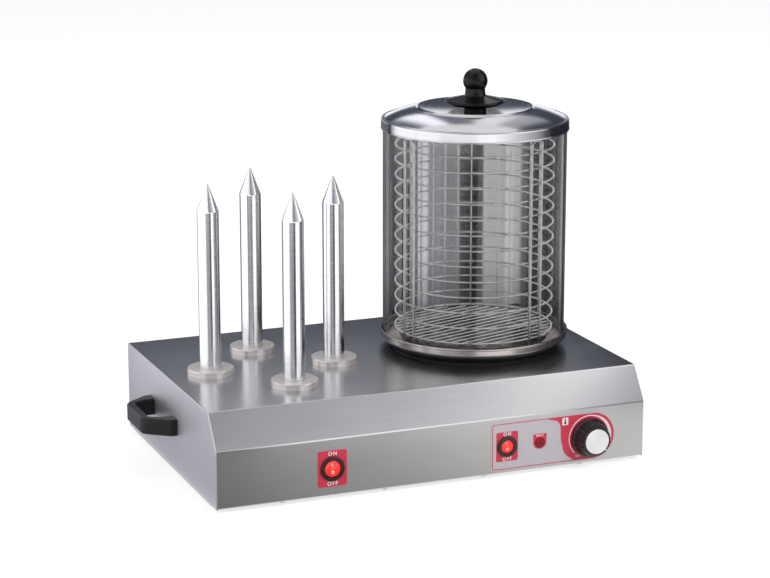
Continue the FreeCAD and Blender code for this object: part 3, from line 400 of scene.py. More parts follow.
def rounded(corners, steps=6):
    """An outline through (x, y, radius) corners, each eased by an arc of its radius."""
    points = []
    for i, (x, y, radius) in enumerate(corners):
        here = Vector((x, y))
        if radius == 0:
            points.append(here)
            continue
        before = (Vector(corners[i - 1][:2]) - here).normalized()
        after = (Vector(corners[(i + 1) % len(corners)][:2]) - here).normalized()
        half = before.angle(after) / 2
        centre = here + (before + after).normalized() * radius / math.sin(half)
        first = here + before * radius / math.tan(half) - centre
        last = here + after * radius / math.tan(half) - centre
        start = math.atan2(first.y, first.x)
        sweep = (math.atan2(last.y, last.x) - start + math.pi) % (2 * math.pi) - math.pi
        for step in range(steps + 1):
            turn = start + sweep * step / steps
            points.append(centre + Vector((math.cos(turn), math.sin(turn))) * radius)
    return points


merge_gap = 0.0005
crease = math.radians(20)


def finished(name, shape, material, body):
    """A mesh in millimetres made into a piece in metres that rides on its body."""
    bmesh.ops.remove_doubles(shape, verts=shape.verts, dist=merge_gap)
    bmesh.ops.recalc_face_normals(shape, faces=shape.faces)
    bmesh.ops.scale(shape, vec=(MM, MM, MM), verts=shape.verts)
    for face in shape.faces:
        face.smooth = True
    for edge in shape.edges:
        edge.smooth = len(edge.link_faces) == 2 and edge.calc_face_angle(0) < crease
    mesh = bpy.data.meshes.new(name)
    shape.to_mesh(mesh)
    shape.free()
    mesh.materials.append(material)
    piece = bpy.data.objects.new(name, mesh)
    bpy.context.scene.collection.objects.link(piece)
    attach(piece, body)


def printed(name, outlines, material, layer=1, body="base", on=None):
    """A layer of ink: outlines hold (x, z) points in millimetres, seen from the front.

    An outline given as a pair of loops is the band between them. The ink lies on the
    front labels' plane, or follows the face of the node named by on."""
    if on:
        carrier = nodes[on].data
        corners = [v.co for v in carrier.vertices]
        surface = BVHTree.FromPolygons(corners, [p.vertices for p in carrier.polygons])

    def ink_y(x, z):
        """Where the ink's front lies, found by a ray from 1 m in front of the object."""
        if not on:
            return face_y - ink_lift * layer
        hit = surface.ray_cast(Vector((x * MM, -1, z * MM)), Vector((0, 1, 0)))[0]
        return hit.y / MM - ink_lift * layer

    shape = bmesh.new()
    for outline in outlines:
        loops = outline if isinstance(outline, tuple) else (outline,)
        edges = []
        for loop in loops:
            verts = [shape.verts.new((x, ink_y(x, z), z)) for x, z in loop]
            if len(loops) == 1:
                shape.faces.new(verts)
            else:
                edges += [shape.edges.new(pair) for pair in zip(verts, verts[1:] + verts[:1])]
        if edges:
            bmesh.ops.bridge_loops(shape, edges=edges)
    bmesh.ops.remove_doubles(shape, verts=shape.verts, dist=merge_gap)
    grown = bmesh.ops.extrude_face_region(shape, geom=shape.faces[:])
    moved = [v for v in grown["geom"] if isinstance(v, bmesh.types.BMVert)]
    bmesh.ops.translate(shape, vec=(0, ink_thickness, 0), verts=moved)
    finished(name, shape, material, body)


# A font's size for capitals 1 mm high, and how far that size's strokes are thickened
font_size, font_bold = 1.4, 0.035


def lettering(name, words, material, layer=2):
    """Printed words: (text, middle x, middle z, letter height, spacing) in millimetres."""
    shape = bmesh.new()
    for text, x, z, height, spacing in words:
        curve = bpy.data.curves.new("words", "FONT")
        curve.body = text
        curve.align_x = "CENTER"
        curve.align_y = "CENTER"
        curve.size = height * font_size
        curve.space_character = spacing
        curve.offset = height * font_bold
        curve.extrude = ink_thickness / 2
        words_object = bpy.data.objects.new("words", curve)
        bpy.context.scene.collection.objects.link(words_object)
        bpy.context.view_layer.update()
        depsgraph = bpy.context.evaluated_depsgraph_get()
        flat = bpy.data.meshes.new_from_object(words_object.evaluated_get(depsgraph))
        middle = Matrix.Translation((x, face_y - ink_lift * layer + ink_thickness / 2, z))
        flat.transform(middle @ Matrix.Rotation(math.pi / 2, 4, "X"))
        shape.from_mesh(flat)
        bpy.data.objects.remove(words_object)
        bpy.data.curves.remove(curve)
        bpy.data.meshes.remove(flat)
    finished(name, shape, material, "base")


def box_corners(left, right, bottom, top, radius):
    """The four corners of an upright rectangle with one corner radius."""
    return [(left, bottom, radius), (right, bottom, radius), (right, top, radius), (left, top, radius)]


def arc(centre_x, centre_z, radius, start, end, steps=40):
    """Points on an arc, from one angle to another in degrees."""
    turns = [math.radians(start + (end - start) * i / steps) for i in range(steps + 1)]
    return [(centre_x + radius * math.cos(t), centre_z + radius * math.sin(t)) for t in turns]


label_low, label_high = (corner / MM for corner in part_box("left_label"))
left_x = (label_low.x + label_high.x) / 2
switch_z = (label_low.z + label_high.z) / 2
letter, wide_set = 4.0, 1.3
on_drop, off_rise = 3.4, 3.2
left_words = [
    ("ON", left_x, label_high.z - on_drop, letter, wide_set),
    ("OFF", left_x, label_low.z + off_rise, letter, wide_set),
]
lettering("left_label_words", left_words, ink_white)

panel_low, panel_high = (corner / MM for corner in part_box("control_panel"))
lamp_low, lamp_high = (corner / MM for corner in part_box("lamp_lens"))
right_low, right_high = (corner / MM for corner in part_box("switch_body_right"))
knob_low, knob_high = (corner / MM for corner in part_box("thermostat_knob"))
knob_x, knob_z = (knob_low.x + knob_high.x) / 2, (knob_low.z + knob_high.z) / 2
lamp_x = (lamp_low.x + lamp_high.x) / 2
right_x = (right_low.x + right_high.x) / 2
panel_corner = 4.5
border_gap = 1.2
border_width = 0.9
# Two corners that make a half round stop just short of each other
corner_gap = 0.01


def panel_outline(inset):
    """The control panel's outline moved inwards: square on the left, half round on the right."""
    low_z, high_z = panel_low.z + inset, panel_high.z - inset
    end = (high_z - low_z) / 2 - corner_gap
    corner = max(panel_corner - inset, 0.5)
    left, right = panel_low.x + inset, panel_high.x - inset
    corners = [(left, low_z, corner), (right, low_z, end), (right, high_z, end), (left, high_z, corner)]
    return rounded(corners, 20)


# The red zone round the knob: its left edge falls from the top in an eased step
zone_top_x, zone_side_x, zone_low_x = 122.0, 141.8, 158.5
zone_low_z, zone_high_z = panel_low.z + border_gap, panel_high.z - border_gap
zone_right_x = panel_high.x - border_gap
zone_end = (zone_high_z - zone_low_z) / 2 - corner_gap
zone = rounded(
    [
        (zone_low_x, zone_low_z, 0),
        (zone_right_x, zone_low_z, zone_end),
        (zone_right_x, zone_high_z, zone_end),
        (zone_top_x, zone_high_z, 0),
        (zone_side_x - 1, zone_high_z - 5, 9),
        (zone_side_x, knob_z, 30),
        (zone_side_x + 4, zone_low_z + 8, 16),
    ],
    16,
)
printed("panel_border", [(panel_outline(border_gap), panel_outline(border_gap + border_width))], film_red)
printed("panel_red_zone", [zone], film_red, 2)

# Red plates behind the switch and the lamp, both left open under the bezel and the lens
plate_half, plate_rise, plate_corner = 12.5, 16.0, 2.0
switch_plate = rounded(
    box_corners(
        right_x - plate_half,
        right_x + plate_half,
        switch_z - plate_rise,
        switch_z + plate_rise,
        plate_corner,
    )
)
lamp_half, lamp_rise, lamp_drop = 7.7, 9.5, 7.0
lamp_plate = rounded(
    [
        (lamp_x - lamp_half, switch_z - lamp_drop, lamp_drop),
        (lamp_x + lamp_half, switch_z - lamp_drop, lamp_drop),
        (lamp_x + lamp_half, switch_z + lamp_rise, 0.6),
        (lamp_x - lamp_half, switch_z + lamp_rise, 0.6),
    ]
)
switch_open, lamp_open = 8.5, 4.0
# A ring of 28 points that starts at the lower left, where the plates' outlines start too
hole_start, hole_steps = 225, 27
hole_end = hole_start + 360 * hole_steps / (hole_steps + 1)
switch_hole = arc(right_x, switch_z, switch_open, hole_start, hole_end, hole_steps)
lamp_hole = arc(lamp_x, switch_z, lamp_open, hole_start, hole_end, hole_steps)
printed("panel_red_plates", [(switch_plate, switch_hole), (lamp_plate, lamp_hole)], film_red, 2)

# The scale's line is thin on the left and grows wider from the top round to the hot end
scale_inner, scale_thin, scale_wide = 22.9, 1.1, 3.6
scale_start, scale_end, scale_steps = 223, -24, 40
widen_from, widen_over = 80, 70
scale = arc(knob_x, knob_z, scale_inner, scale_start, scale_end, scale_steps)
for step in range(scale_steps + 1):
    turn = scale_end + (scale_start - scale_end) * step / scale_steps
    widened = max(0.0, min(1.0, (widen_from - turn) / widen_over))
    outer = scale_inner + scale_thin + (scale_wide - scale_thin) * widened
    scale += arc(knob_x, knob_z, outer, turn, turn, 1)[:1]
hot_from, hot_to, hot_width = -27, -35, 1.6
hot_inside = arc(knob_x, knob_z, scale_inner, hot_from, hot_to, 6)
hot_mark = hot_inside + arc(knob_x, knob_z, scale_inner + hot_width, hot_to, hot_from, 6)

# A white tile with a small thermometer, and the words
tile_x, tile_z = 146.6, 53.1
tile_half, tile_rise, tile_corner = 3.5, 4.0, 0.8
tile = rounded(
    box_corners(tile_x - tile_half, tile_x + tile_half, tile_z - tile_rise, tile_z + tile_rise, tile_corner)
)
printed("panel_white_scale", [scale, tile], ink_white, 3)
bulb_drop, bulb_radius = 1.9, 1.3
stem_half, stem_rise, stem_tip = 0.75, 2.4, 3.0
bulb = arc(tile_x, tile_z - bulb_drop, bulb_radius, 125, 415, 24)
stem = [
    (tile_x + stem_half, tile_z + stem_rise),
    (tile_x, tile_z + stem_tip),
    (tile_x - stem_half, tile_z + stem_rise),
]
printed("panel_thermometer", [bulb + stem, hot_mark], ink_dark, 4)
word_reach, lamp_word_rise = 13.4, 7.6
cold_x, cold_z = 162.2, 13.3
panel_words = [
    ("ON", right_x, switch_z + word_reach, 3.7, 1.3),
    ("OFF", right_x, switch_z - word_reach, 3.7, 1.3),
    ("HEAT", lamp_x, switch_z + lamp_word_rise, 2.3, 1.2),
    ("OFF", cold_x, cold_z, 2.2, 1.2),
]
lettering("panel_words", panel_words, ink_white, 4)

# Round rocker switches.
# Glass-filled nylon bodies snapped into the front, with a clear red rocker on a pin.
# A small neon lamp behind each rocker makes the red glow while the switch is on.
glow_reach = 11.0
# Smooth moulded nylon, brown-black, with soft 2 mm unevenness in its gloss
smooth_nylon = grained(
    "smooth_moulded_nylon",
    {"Metallic": 0.0, "IOR": 1.54},
    ["#1d1312", "#2a1c1a"],
    (2, 2, 2),
    (0.22, 0.3),
    0.01,
)
# Clear red rocker lit from behind: brightest at its middle, deeper towards its rim
lit_red = grained(
    "lit_red_polycarbonate",
    {"Metallic": 0.0, "IOR": 1.58, "Emission Strength": 0.85},
    ["#d8141a", "#ec2220"],
    (2, 2, 2),
    (0.12, 0.18),
    0.005,
)
lit_tree = lit_red.node_tree
lit_shader = lit_tree.nodes["Principled BSDF"]
lit_place = add_node(lit_tree, "ShaderNodeTexCoord")
lit_parts = add_node(lit_tree, "ShaderNodeSeparateXYZ", {}, {"Vector": lit_place.outputs["Object"]})
lit_reach = []
for middle in (left_x, right_x):
    aside = add_node(
        lit_tree, "ShaderNodeMath", {"operation": "SUBTRACT", 1: middle * MM}, {0: lit_parts.outputs["X"]}
    )
    reach = add_node(lit_tree, "ShaderNodeMath", {"operation": "ABSOLUTE"}, {0: aside.outputs["Value"]})
    lit_reach.append(reach)
lit_nearest = add_node(
    lit_tree,
    "ShaderNodeMath",
    {"operation": "MINIMUM"},
    {i: reach.outputs["Value"] for i, reach in enumerate(lit_reach)},
)
lit_rise = add_node(
    lit_tree, "ShaderNodeMath", {"operation": "SUBTRACT", 1: switch_z * MM}, {0: lit_parts.outputs["Z"]}
)
lit_spread = add_node(
    lit_tree,
    "ShaderNodeCombineXYZ",
    {},
    {"X": lit_nearest.outputs["Value"], "Y": lit_rise.outputs["Value"]},
)
lit_distance = add_node(
    lit_tree, "ShaderNodeVectorMath", {"operation": "LENGTH"}, {0: lit_spread.outputs["Vector"]}
)
lit_share = add_node(
    lit_tree,
    "ShaderNodeMapRange",
    {"From Min": 0.0, "From Max": glow_reach * MM},
    {"Value": lit_distance.outputs["Value"]},
)
lit_glow = add_node(
    lit_tree,
    "ShaderNodeValToRGB",
    {},
    {"Fac": lit_share.outputs["Result"]},
    [(0.0, "#ff4a30"), (0.35, "#f82c24"), (0.7, "#ec1c1e"), (1.0, "#a80c14")],
)
lit_tree.links.new(lit_glow.outputs["Color"], lit_shader.inputs["Emission Color"])
# Unlit ruby lens: deep red, with a painted glow over the whole lens that stands in for light catching its
# dome
ruby_painted_glow = grained(
    "ruby_polycarbonate_painted_glow",
    {
        "Metallic": 0.0,
        "IOR": 1.58,
        "Specular IOR Level": 0.25,
        # This emission is painted glow: no lamp lights the lens from behind
        "Emission Color": linear("#a01226"),
        "Emission Strength": 0.25,
    },
    ["#5e0814", "#780c1c"],
    (1.5, 1.5, 1.5),
    (0.06, 0.12),
    0.005,
)
# Rolled brass: warm yellow, slightly tarnished in 2 mm patches
brass = grained("rolled_brass", {"Metallic": 1.0}, ["#b08a4e", "#cda766"], (2, 2, 2), (0.25, 0.4), 0.01)
dress(smooth_nylon, "switch_body_left", "switch_body_right", "lamp_body")
dress(lit_red, "rocker_left", "rocker_right")
dress(ruby_painted_glow, "lamp_lens")
dress(brass, "switch_terminals", "earth_stud")
# A bar and a ring, printed in white on each rocker as shares of its radius
bar_half, bar_low, bar_top, bar_corner = 0.045, 0.26, 0.62, 0.03
ring_drop, ring_outer, ring_inner = 0.44, 0.2, 0.12
for side, middle in (("left", left_x), ("right", right_x)):
    rocker = "rocker_" + side
    rocker_low, rocker_high = (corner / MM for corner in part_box(rocker))
    reach = (rocker_high.x - rocker_low.x) / 2
    bar = box_corners(
        middle - bar_half * reach,
        middle + bar_half * reach,
        switch_z + bar_low * reach,
        switch_z + bar_top * reach,
        bar_corner * reach,
    )
    ring_z = switch_z - ring_drop * reach
    ring = tuple(arc(middle, ring_z, share * reach, 0, 345, 23) for share in (ring_outer, ring_inner))
    printed("rocker_marks_" + side, [rounded(bar), ring], ink_white, 1, side + "_rocker", rocker)

# Thermostat knob.
# Black phenolic knob with grip flutes and a spun aluminium disc pressed into its face.
# A short white line beside the disc shows the setting.
bakelite = grained(
    "polished_phenolic",
    {"Metallic": 0.0, "IOR": 1.6, "Specular IOR Level": 0.35},
    ["#141114", "#1f1b1f"],
    (1.5, 1.5, 1.5),
    (0.24, 0.32),
    0.005,
)
dress(bakelite, "thermostat_knob")
# Spun on a lathe about the knob's axis, so its sheen fans out from the middle
spun_foil = turned_finish(
    "spun_aluminium_foil",
    ["#ececef", "#f6f6f8"],
    (knob_x, 0, knob_z),
    0.5,
    (0.3, 0.38),
    0.5,
    0.0,
    partly_metallic,
    from_front,
)
dress(spun_foil, "knob_cap")
# The pointer line is printed in short steps, so that it follows the knob's edge
pointer_turn = math.radians(-44)
pointer_gap, pointer_length, pointer_half, pointer_steps = 0.3, 1.9, 0.6, 8
pointer_line = Vector((math.cos(pointer_turn), math.sin(pointer_turn)))
pointer_side = Vector((-pointer_line.y, pointer_line.x)) * pointer_half
cap_low, cap_high = (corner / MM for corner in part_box("knob_cap"))
pointer_start = (cap_high.x - cap_low.x) / 2 + pointer_gap
pointer = []
for step in range(pointer_steps):
    near = pointer_line * (pointer_start + pointer_length * step / pointer_steps)
    far = pointer_line * (pointer_start + pointer_length * (step + 1) / pointer_steps)
    corners = ((near, -pointer_side), (far, -pointer_side), (far, pointer_side), (near, pointer_side))
    pointer.append([Vector((knob_x, knob_z)) + reach + side for reach, side in corners])
printed("knob_pointer", pointer, ink_white, 1, "heat_knob", "thermostat_knob")
# Drawn copper tube: reddish, dulled unevenly by handling
copper = grained("drawn_copper_tube", {"Metallic": 1.0}, ["#b0704f", "#c98a66"], (3, 3, 3), (0.25, 0.4), 0.01)
dress(copper, "capillary")

# Mains entry at the back.
# A black nylon cable gland with its lock nut, and a brass bonding stud beside it.
# The wires end at a cream nylon terminal block inside.
dress(black_nylon, "cable_gland", "gland_nut")
# Moulded cream nylon: half dull, its colour uneven by a trace every 2 mm
cream_nylon = grained(
    "moulded_cream_nylon", {"Metallic": 0.0, "IOR": 1.53}, ["#d5cfbe", "#e2dccb"], (2, 2, 2), (0.4, 0.5), 0.01
)
dress(cream_nylon, "terminal_block")

# Glass cylinder.
# Drawn borosilicate tube, 3 mm, cut square with fire-polished edges; it stands loose on
# the basin's ledge. Its faint grey body colour darkens where one looks along the wall.
glass, glass_tree, _ = new_material(
    "borosilicate_glass",
    {"Base Color": linear("#f5f4f4"), "Roughness": 0.0, "IOR": 1.47, "Transmission Weight": 1.0},
)
smoke = add_node(glass_tree, "ShaderNodeVolumeAbsorption", {"Color": linear("#8e8e90"), "Density": 100.0})
glass_tree.links.new(smoke.outputs["Volume"], glass_tree.nodes["Material Output"].inputs["Volume"])
dress(glass, "glass_cylinder")

# Wire basket.
# Rings, upright loops, a floor grid and thin back wires, spot-welded from drawn wire.
# Stainless wire, polished bright, with soft unevenness every few millimetres.
bright_wire = grained(
    "polished_stainless_wire", {"Metallic": 1.0}, ["#d2d3d5", "#e4e5e6"], (3, 3, 3), (0.12, 0.2), 0.01
)
dress(bright_wire, "basket_rings", "basket_loops", "basket_floor", "basket_back_wires")

# Lid with its knob.
# The lid is spun from stainless steel and polished; its rolled rim hangs over the glass.
# The knob is one turned piece of glossy black phenolic on a screw from below.
spun_steel = turned_finish("spun_stainless_steel", ["#cbcacc", "#d8d7d9"], tower_axis, 1.6, (0.12, 0.17), 0.5)
gloss_black = grained(
    "polished_black_phenolic",
    {"Metallic": 0.0, "IOR": 1.6, "Specular IOR Level": 0.2},
    ["#080809", "#0e0e0f"],
    (2, 2, 2),
    (0.2, 0.26),
    0.002,
)
dress(spun_steel, "lid_cover")
dress(gloss_black, "lid_knob")

# Studio: a pale floor, soft lamps, reflector cards and the camera.
# The floor and the far background show white; the object's own shadow stays on the floor.
wall_strength = 1.7


def seen_by(item, rays):
    """Leaves an object or lamp visible to the named kinds of ray only."""
    item.visible_camera = "camera" in rays
    item.visible_diffuse = "diffuse" in rays
    item.visible_glossy = "glossy" in rays
    item.visible_transmission = "transmission" in rays
    item.visible_volume_scatter = False
    item.visible_shadow = "shadow" in rays


def shaded(tree, value, stops):
    """A colour that follows a value through (value, colour) stops."""
    first, last = stops[0][0], stops[-1][0]
    share = add_node(tree, "ShaderNodeMapRange", {"From Min": first, "From Max": last}, {"Value": value})
    steps = [((at - first) / (last - first), colour) for at, colour in stops]
    return add_node(tree, "ShaderNodeValToRGB", {}, {"Fac": share.outputs["Result"]}, steps).outputs["Color"]


def screen(name, shape, rays, strength, paint):
    """A sheet of its own light that only the named rays see.

    paint gets the node tree and the place on the sheet, and gives back the colour."""
    mesh = bpy.data.meshes.new(name)
    shape.to_mesh(mesh)
    shape.free()
    sheet = bpy.data.objects.new(name, mesh)
    bpy.context.scene.collection.objects.link(sheet)
    material = bpy.data.materials.new(name)
    material.use_nodes = True
    tree = material.node_tree
    tree.nodes.remove(tree.nodes["Principled BSDF"])
    place = add_node(tree, "ShaderNodeTexCoord")
    colour = paint(tree, place.outputs["Object"])
    light = add_node(tree, "ShaderNodeEmission", {"Strength": strength}, {"Color": colour})
    tree.links.new(light.outputs["Emission"], tree.nodes["Material Output"].inputs["Surface"])
    mesh.materials.append(material)
    seen_by(sheet, rays)


def card(name, corners, along, stops, strength=1.0):
    """A flat reflector whose colour changes along one axis, by stops in metres."""
    shape = bmesh.new()
    shape.faces.new([shape.verts.new(corner) for corner in corners])

    def paint(tree, place):
        parts = add_node(tree, "ShaderNodeSeparateXYZ", {}, {"Vector": place})
        return shaded(tree, parts.outputs[along], stops)

    screen(name, shape, ["glossy"], strength, paint)


floor_shape = bmesh.new()
bmesh.ops.create_grid(floor_shape, x_segments=1, y_segments=1, size=6.0)
floor_mesh = bpy.data.meshes.new("floor")
floor_shape.to_mesh(floor_mesh)
floor_shape.free()
floor = bpy.data.objects.new("floor", floor_mesh)
bpy.context.scene.collection.objects.link(floor)
floor_material, floor_tree, floor_shader = new_material(
    "pale_floor", {"Base Color": linear("#bcbcbc"), "Roughness": 0.9}
)
floor_mesh.materials.append(floor_material)


def drum(name, centre, radius, height, rays, strength, paint):
    """An upright round screen, in metres.

    paint gets the node tree, the turn round the axis in degrees from +X to +Y, and the
    height, and gives back the colour."""
    shape = bmesh.new()
    bmesh.ops.create_circle(shape, segments=128, radius=radius)
    raised = bmesh.ops.extrude_edge_only(shape, edges=shape.edges[:])
    top_ring = [v for v in raised["geom"] if isinstance(v, bmesh.types.BMVert)]
    bmesh.ops.translate(shape, vec=(0, 0, height), verts=top_ring)
    bmesh.ops.translate(shape, vec=(centre[0], centre[1], 0), verts=shape.verts)

    def paint_round(tree, place):
        from_axis = add_node(
            tree,
            "ShaderNodeVectorMath",
            {"operation": "SUBTRACT", 1: (centre[0], centre[1], 0)},
            {0: place},
        )
        parts = add_node(tree, "ShaderNodeSeparateXYZ", {}, {"Vector": from_axis.outputs["Vector"]})
        turn = add_node(
            tree, "ShaderNodeMath", {"operation": "ARCTAN2"}, {0: parts.outputs["Y"], 1: parts.outputs["X"]}
        )
        degrees = add_node(
            tree, "ShaderNodeMath", {"operation": "MULTIPLY", 1: 180 / math.pi}, {0: turn.outputs["Value"]}
        )
        return paint(tree, degrees.outputs["Value"], parts.outputs["Z"])

    screen(name, shape, rays, strength, paint_round)


# The Mix node's places for its share, its two colours and its result
mix_share, mix_below, mix_above, mix_result = 0, 6, 7, 2
dark, bright = "#000000", "#ffffff"


def wall_paint(tree, turn, height):
    """Upright strips low down for the spikes, then a bright front and a slate back for the
    sheet metal, and above those a bright band, a slate band and strips for the lid."""
    low = shaded(
        tree,
        turn,
        [
            (-180, "#f2f2f4"),
            (-150, "#e4e4e8"),
            (-146, "#8c8c92"),
            (-117, "#77777d"),
            (-113, "#1c1c20"),
            (-101, "#1c1c20"),
            (-97, "#f6f6f8"),
            (-60, "#f4f4f4"),
            (-54, "#7c7c80"),
            (-30, "#4c4c50"),
            (20, "#26272a"),
            (68, "#2c2d32"),
            (80, "#3c3e44"),
            (130, "#5c5e64"),
            (140, "#f0f0f2"),
            (180, "#f2f2f4"),
        ],
    )
    back = shaded(
        tree,
        height,
        [
            (0.17, "#353942"),
            (0.2, "#3c414b"),
            (0.27, "#5c5f66"),
            (0.335, "#60636a"),
            (0.345, "#d8d8dc"),
            (0.4, "#d8d8dc"),
            (0.43, "#363a44"),
            (0.54, "#3a3e49"),
        ],
    )
    lid_strips = shaded(
        tree,
        turn,
        [
            (-180, "#b4b4ba"),
            (-112, "#707076"),
            (-60, "#b4b4b8"),
            (-45, "#f4f4f4"),
            (-20, "#ffffff"),
            (0, "#4a4e5a"),
            (24, "#343842"),
            (28, "#3e424c"),
            (32, "#8c8c92"),
            (41, "#9c9ca1"),
            (45, "#cecccf"),
            (53, "#cecccf"),
            (56, "#6c6c74"),
            (65, "#5c5e68"),
            (68, "#f0f0f8"),
            (76, "#e8e8f0"),
            (82, "#565a66"),
            (100, "#3a3e48"),
            (140, "#b4b4ba"),
            (180, "#b4b4ba"),
        ],
    )
    front = shaded(tree, height, [(0.17, "#e8e8ea"), (0.33, "#f0f0f2"), (0.9, "#d0d0d2")])
    side = shaded(
        tree, turn, [(-80, bright), (-22, "#141414"), (-10, dark), (118, dark), (134, bright)]
    )
    flank_stops = [(-30, dark), (-14, bright), (24, bright), (38, dark), (110, dark), (116, bright)]
    flanks = shaded(tree, turn, flank_stops + [(128, bright), (136, dark)])
    flank_tone = shaded(tree, height, [(0.3, "#202126"), (0.345, "#2c2e36"), (0.9, "#3a3e49")])
    behind = add_node(
        tree,
        "ShaderNodeMix",
        {"data_type": "RGBA"},
        {mix_share: flanks, mix_below: back, mix_above: flank_tone},
    )
    middle = add_node(
        tree,
        "ShaderNodeMix",
        {"data_type": "RGBA"},
        {mix_share: side, mix_below: behind.outputs[mix_result], mix_above: front},
    )
    ahead = shaded(tree, turn, [(-130, dark), (-115, bright), (-18, bright), (-5, dark)])
    lifted = add_node(tree, "ShaderNodeMath", {"operation": "MULTIPLY_ADD", 1: 0.18}, {0: ahead, 2: height})
    above = add_node(
        tree, "ShaderNodeMapRange", {"From Min": 0.54, "From Max": 0.58}, {"Value": lifted.outputs["Value"]}
    )
    upper = add_node(
        tree,
        "ShaderNodeMix",
        {"data_type": "RGBA"},
        {mix_share: above.outputs["Result"], mix_below: middle.outputs[mix_result], mix_above: lid_strips},
    )
    sunk = add_node(tree, "ShaderNodeMath", {"operation": "MULTIPLY_ADD", 1: -0.05}, {0: side, 2: height})
    rise = add_node(
        tree, "ShaderNodeMapRange", {"From Min": 0.182, "From Max": 0.195}, {"Value": sunk.outputs["Value"]}
    )
    whole = add_node(
        tree,
        "ShaderNodeMix",
        {"data_type": "RGBA"},
        {mix_share: rise.outputs["Result"], mix_below: low, mix_above: upper.outputs[mix_result]},
    )
    return whole.outputs[mix_result]


# Reflector wall round the object, seen only as a reflection
drum("reflector_wall", (0, 0), 0.5, 0.9, ["glossy"], wall_strength, wall_paint)

# A graduated card over the front for the slope, and cards on the floor at the front and left
card(
    "overhead_card",
    [(-1.2, -2.2, 1.25), (2.2, -2.2, 1.25), (2.2, -0.25, 1.25), (-1.2, -0.25, 1.25)],
    "X",
    [(0.15, "#646468"), (0.3, "#7c7c80"), (0.5, "#ccccce"), (0.6, "#fafafa"), (0.9, "#ffffff")],
    wall_strength,
)
card(
    "floor_card",
    [(-0.25, -0.95, 0.001), (0.9, -0.95, 0.001), (0.9, -0.158, 0.001), (-0.25, -0.158, 0.001)],
    "X",
    [(-0.25, "#868484"), (0.0, "#bebcba"), (0.12, "#e6e4e1"), (0.22, "#f4f2ee"), (0.35, "#ffffff")],
)
card(
    "left_card",
    [(-0.9, -0.3, 0.001), (-0.25, -0.3, 0.001), (-0.25, 0.9, 0.001), (-0.9, 0.9, 0.001)],
    "Y",
    [(-0.1, "#cccad2"), (0.35, "#b4b2bc")],
)

# The strips round the tower repeat; this is their pitch and one repeat's middle, in degrees
strips_pitch, strips_middle = 45, 65.3


def screen_paint(tree, turn, height):
    """Upright strips, the same every 45 degrees and darker low down, that show through the
    glass; the basket's wires inside reflect a brighter set."""
    steps = add_node(
        tree,
        "ShaderNodeMath",
        {"operation": "MULTIPLY_ADD", 1: -1 / strips_pitch, 2: strips_middle / strips_pitch + 0.5},
        {0: turn},
    )
    part = add_node(tree, "ShaderNodeMath", {"operation": "FRACT"}, {0: steps.outputs["Value"]})
    strips = shaded(
        tree,
        part.outputs["Value"],
        [
            (0.0, "#303032"),
            (0.112, "#343436"),
            (0.12, "#8c8a8e"),
            (0.165, "#78767a"),
            (0.175, "#d4d2d6"),
            (0.225, "#dcdade"),
            (0.245, "#7e8088"),
            (0.33, "#8c8d90"),
            (0.405, "#88898c"),
            (0.42, "#48464a"),
            (0.445, "#2c292c"),
            (0.533, "#262428"),
            (0.545, "#b0b0b2"),
            (0.655, "#b4b4b6"),
            (0.67, "#d0d0d2"),
            (0.738, "#c0c0c2"),
            (0.762, "#6c6b6e"),
            (0.796, "#323134"),
            (0.9, "#2a2a2c"),
            (1.0, "#2c2c2e"),
        ],
    )
    wire_strips = shaded(tree, part.outputs["Value"], [(0.5, bright), (0.6, "#48484a"), (0.7, bright)])
    # A wire's reflection reaches the screen after four faces of glass and a glossy bounce
    path = add_node(tree, "ShaderNodeLightPath")
    through = add_node(
        tree, "ShaderNodeMath", {"operation": "GREATER_THAN", 1: 3.5}, {0: path.outputs["Transmission Depth"]}
    )
    from_wire = add_node(
        tree,
        "ShaderNodeMath",
        {"operation": "MULTIPLY", "use_clamp": True},
        {0: through.outputs["Value"], 1: path.outputs["Glossy Depth"]},
    )
    seen = add_node(
        tree,
        "ShaderNodeMix",
        {"data_type": "RGBA"},
        {mix_share: from_wire.outputs["Value"], mix_below: strips, mix_above: wire_strips},
    )
    rise = add_node(tree, "ShaderNodeMapRange", {"From Min": 0.03, "From Max": 0.13}, {"Value": height})
    whole = add_node(
        tree,
        "ShaderNodeMix",
        {"data_type": "RGBA", mix_below: linear("#262628")},
        {mix_share: rise.outputs["Result"], mix_above: seen.outputs[mix_result]},
    )
    return whole.outputs[mix_result]


# Strips round the tower, seen only through its glass
drum("tower_screen", (tower_axis[0] * MM, tower_axis[1] * MM), 0.3, 0.5, ["transmission"], 1.38, screen_paint)


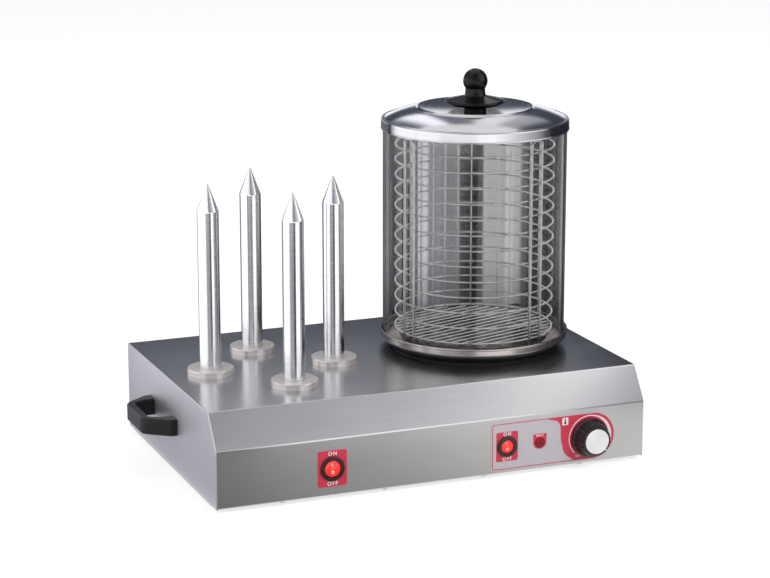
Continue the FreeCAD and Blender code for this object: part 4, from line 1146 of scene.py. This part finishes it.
def soft_lamp(name, place, aim, width, height, power):
    """A rectangular lamp aimed at a point, in metres."""
    data = bpy.data.lights.new(name, "AREA")
    data.shape = "RECTANGLE"
    data.size = width
    data.size_y = height
    data.energy = power
    lamp = bpy.data.objects.new(name, data)
    bpy.context.scene.collection.objects.link(lamp)
    lamp.location = place
    lamp.rotation_euler = (Vector(aim) - Vector(place)).to_track_quat("-Z", "Y").to_euler()
    seen_by(lamp, ["diffuse", "transmission", "shadow"])


lamp_aim = (0, 0, 0.15)
soft_lamp("front_lamp", (1.4, -2.2, 2.2), lamp_aim, 1.6, 1.2, 42)
soft_lamp("left_lamp", (-2.2, -0.8, 1.6), lamp_aim, 1.4, 1.2, 22)
soft_lamp("back_lamp", (0.4, 2.0, 2.2), lamp_aim, 1.8, 1.0, 16)


def plain_view(tree):
    """1 for rays from the camera, off gloss and through glass, and 0 for all others."""
    rays = add_node(tree, "ShaderNodeLightPath")
    shows = rays.outputs["Is Camera Ray"]
    for kind in ("Is Glossy Ray", "Is Transmission Ray"):
        either = add_node(tree, "ShaderNodeMath", {"operation": "MAXIMUM"}, {0: shows, 1: rays.outputs[kind]})
        shows = either.outputs["Value"]
    return shows


# The far background shows white, and lights the object at about half that
world = bpy.data.worlds.new("studio")
bpy.context.scene.world = world
world.use_nodes = True
world_tree = world.node_tree
level = add_node(
    world_tree, "ShaderNodeMapRange", {"To Min": 0.55, "To Max": 1.0}, {"Value": plain_view(world_tree)}
)
background = world_tree.nodes["Background"]
background.inputs["Color"].default_value = (1, 1, 1, 1)
world_tree.links.new(level.outputs["Result"], background.inputs["Strength"])

# The floor shows white to the camera, to gloss and through glass, but for the shadow on it
floor_glow = add_node(
    floor_tree, "ShaderNodeMath", {"operation": "MULTIPLY", 1: 0.62}, {0: plain_view(floor_tree)}
)
floor_shader.inputs["Emission Color"].default_value = (1, 1, 1, 1)
floor_tree.links.new(floor_glow.outputs["Value"], floor_shader.inputs["Emission Strength"])

# The camera looks down on the front from the left, with a long lens
camera_down, camera_left = 14.0, 22.05
camera_data = bpy.data.cameras.new("camera")
camera_data.lens = 110.28
camera_data.sensor_width = 36.0
camera = bpy.data.objects.new("camera", camera_data)
bpy.context.scene.collection.objects.link(camera)
camera.location = (-0.92293, -2.29069, 0.79034)
camera.rotation_euler = (math.radians(90 - camera_down), 0, math.radians(-camera_left))
bpy.context.scene.camera = camera
bpy.context.scene.view_settings.view_transform = "Standard"
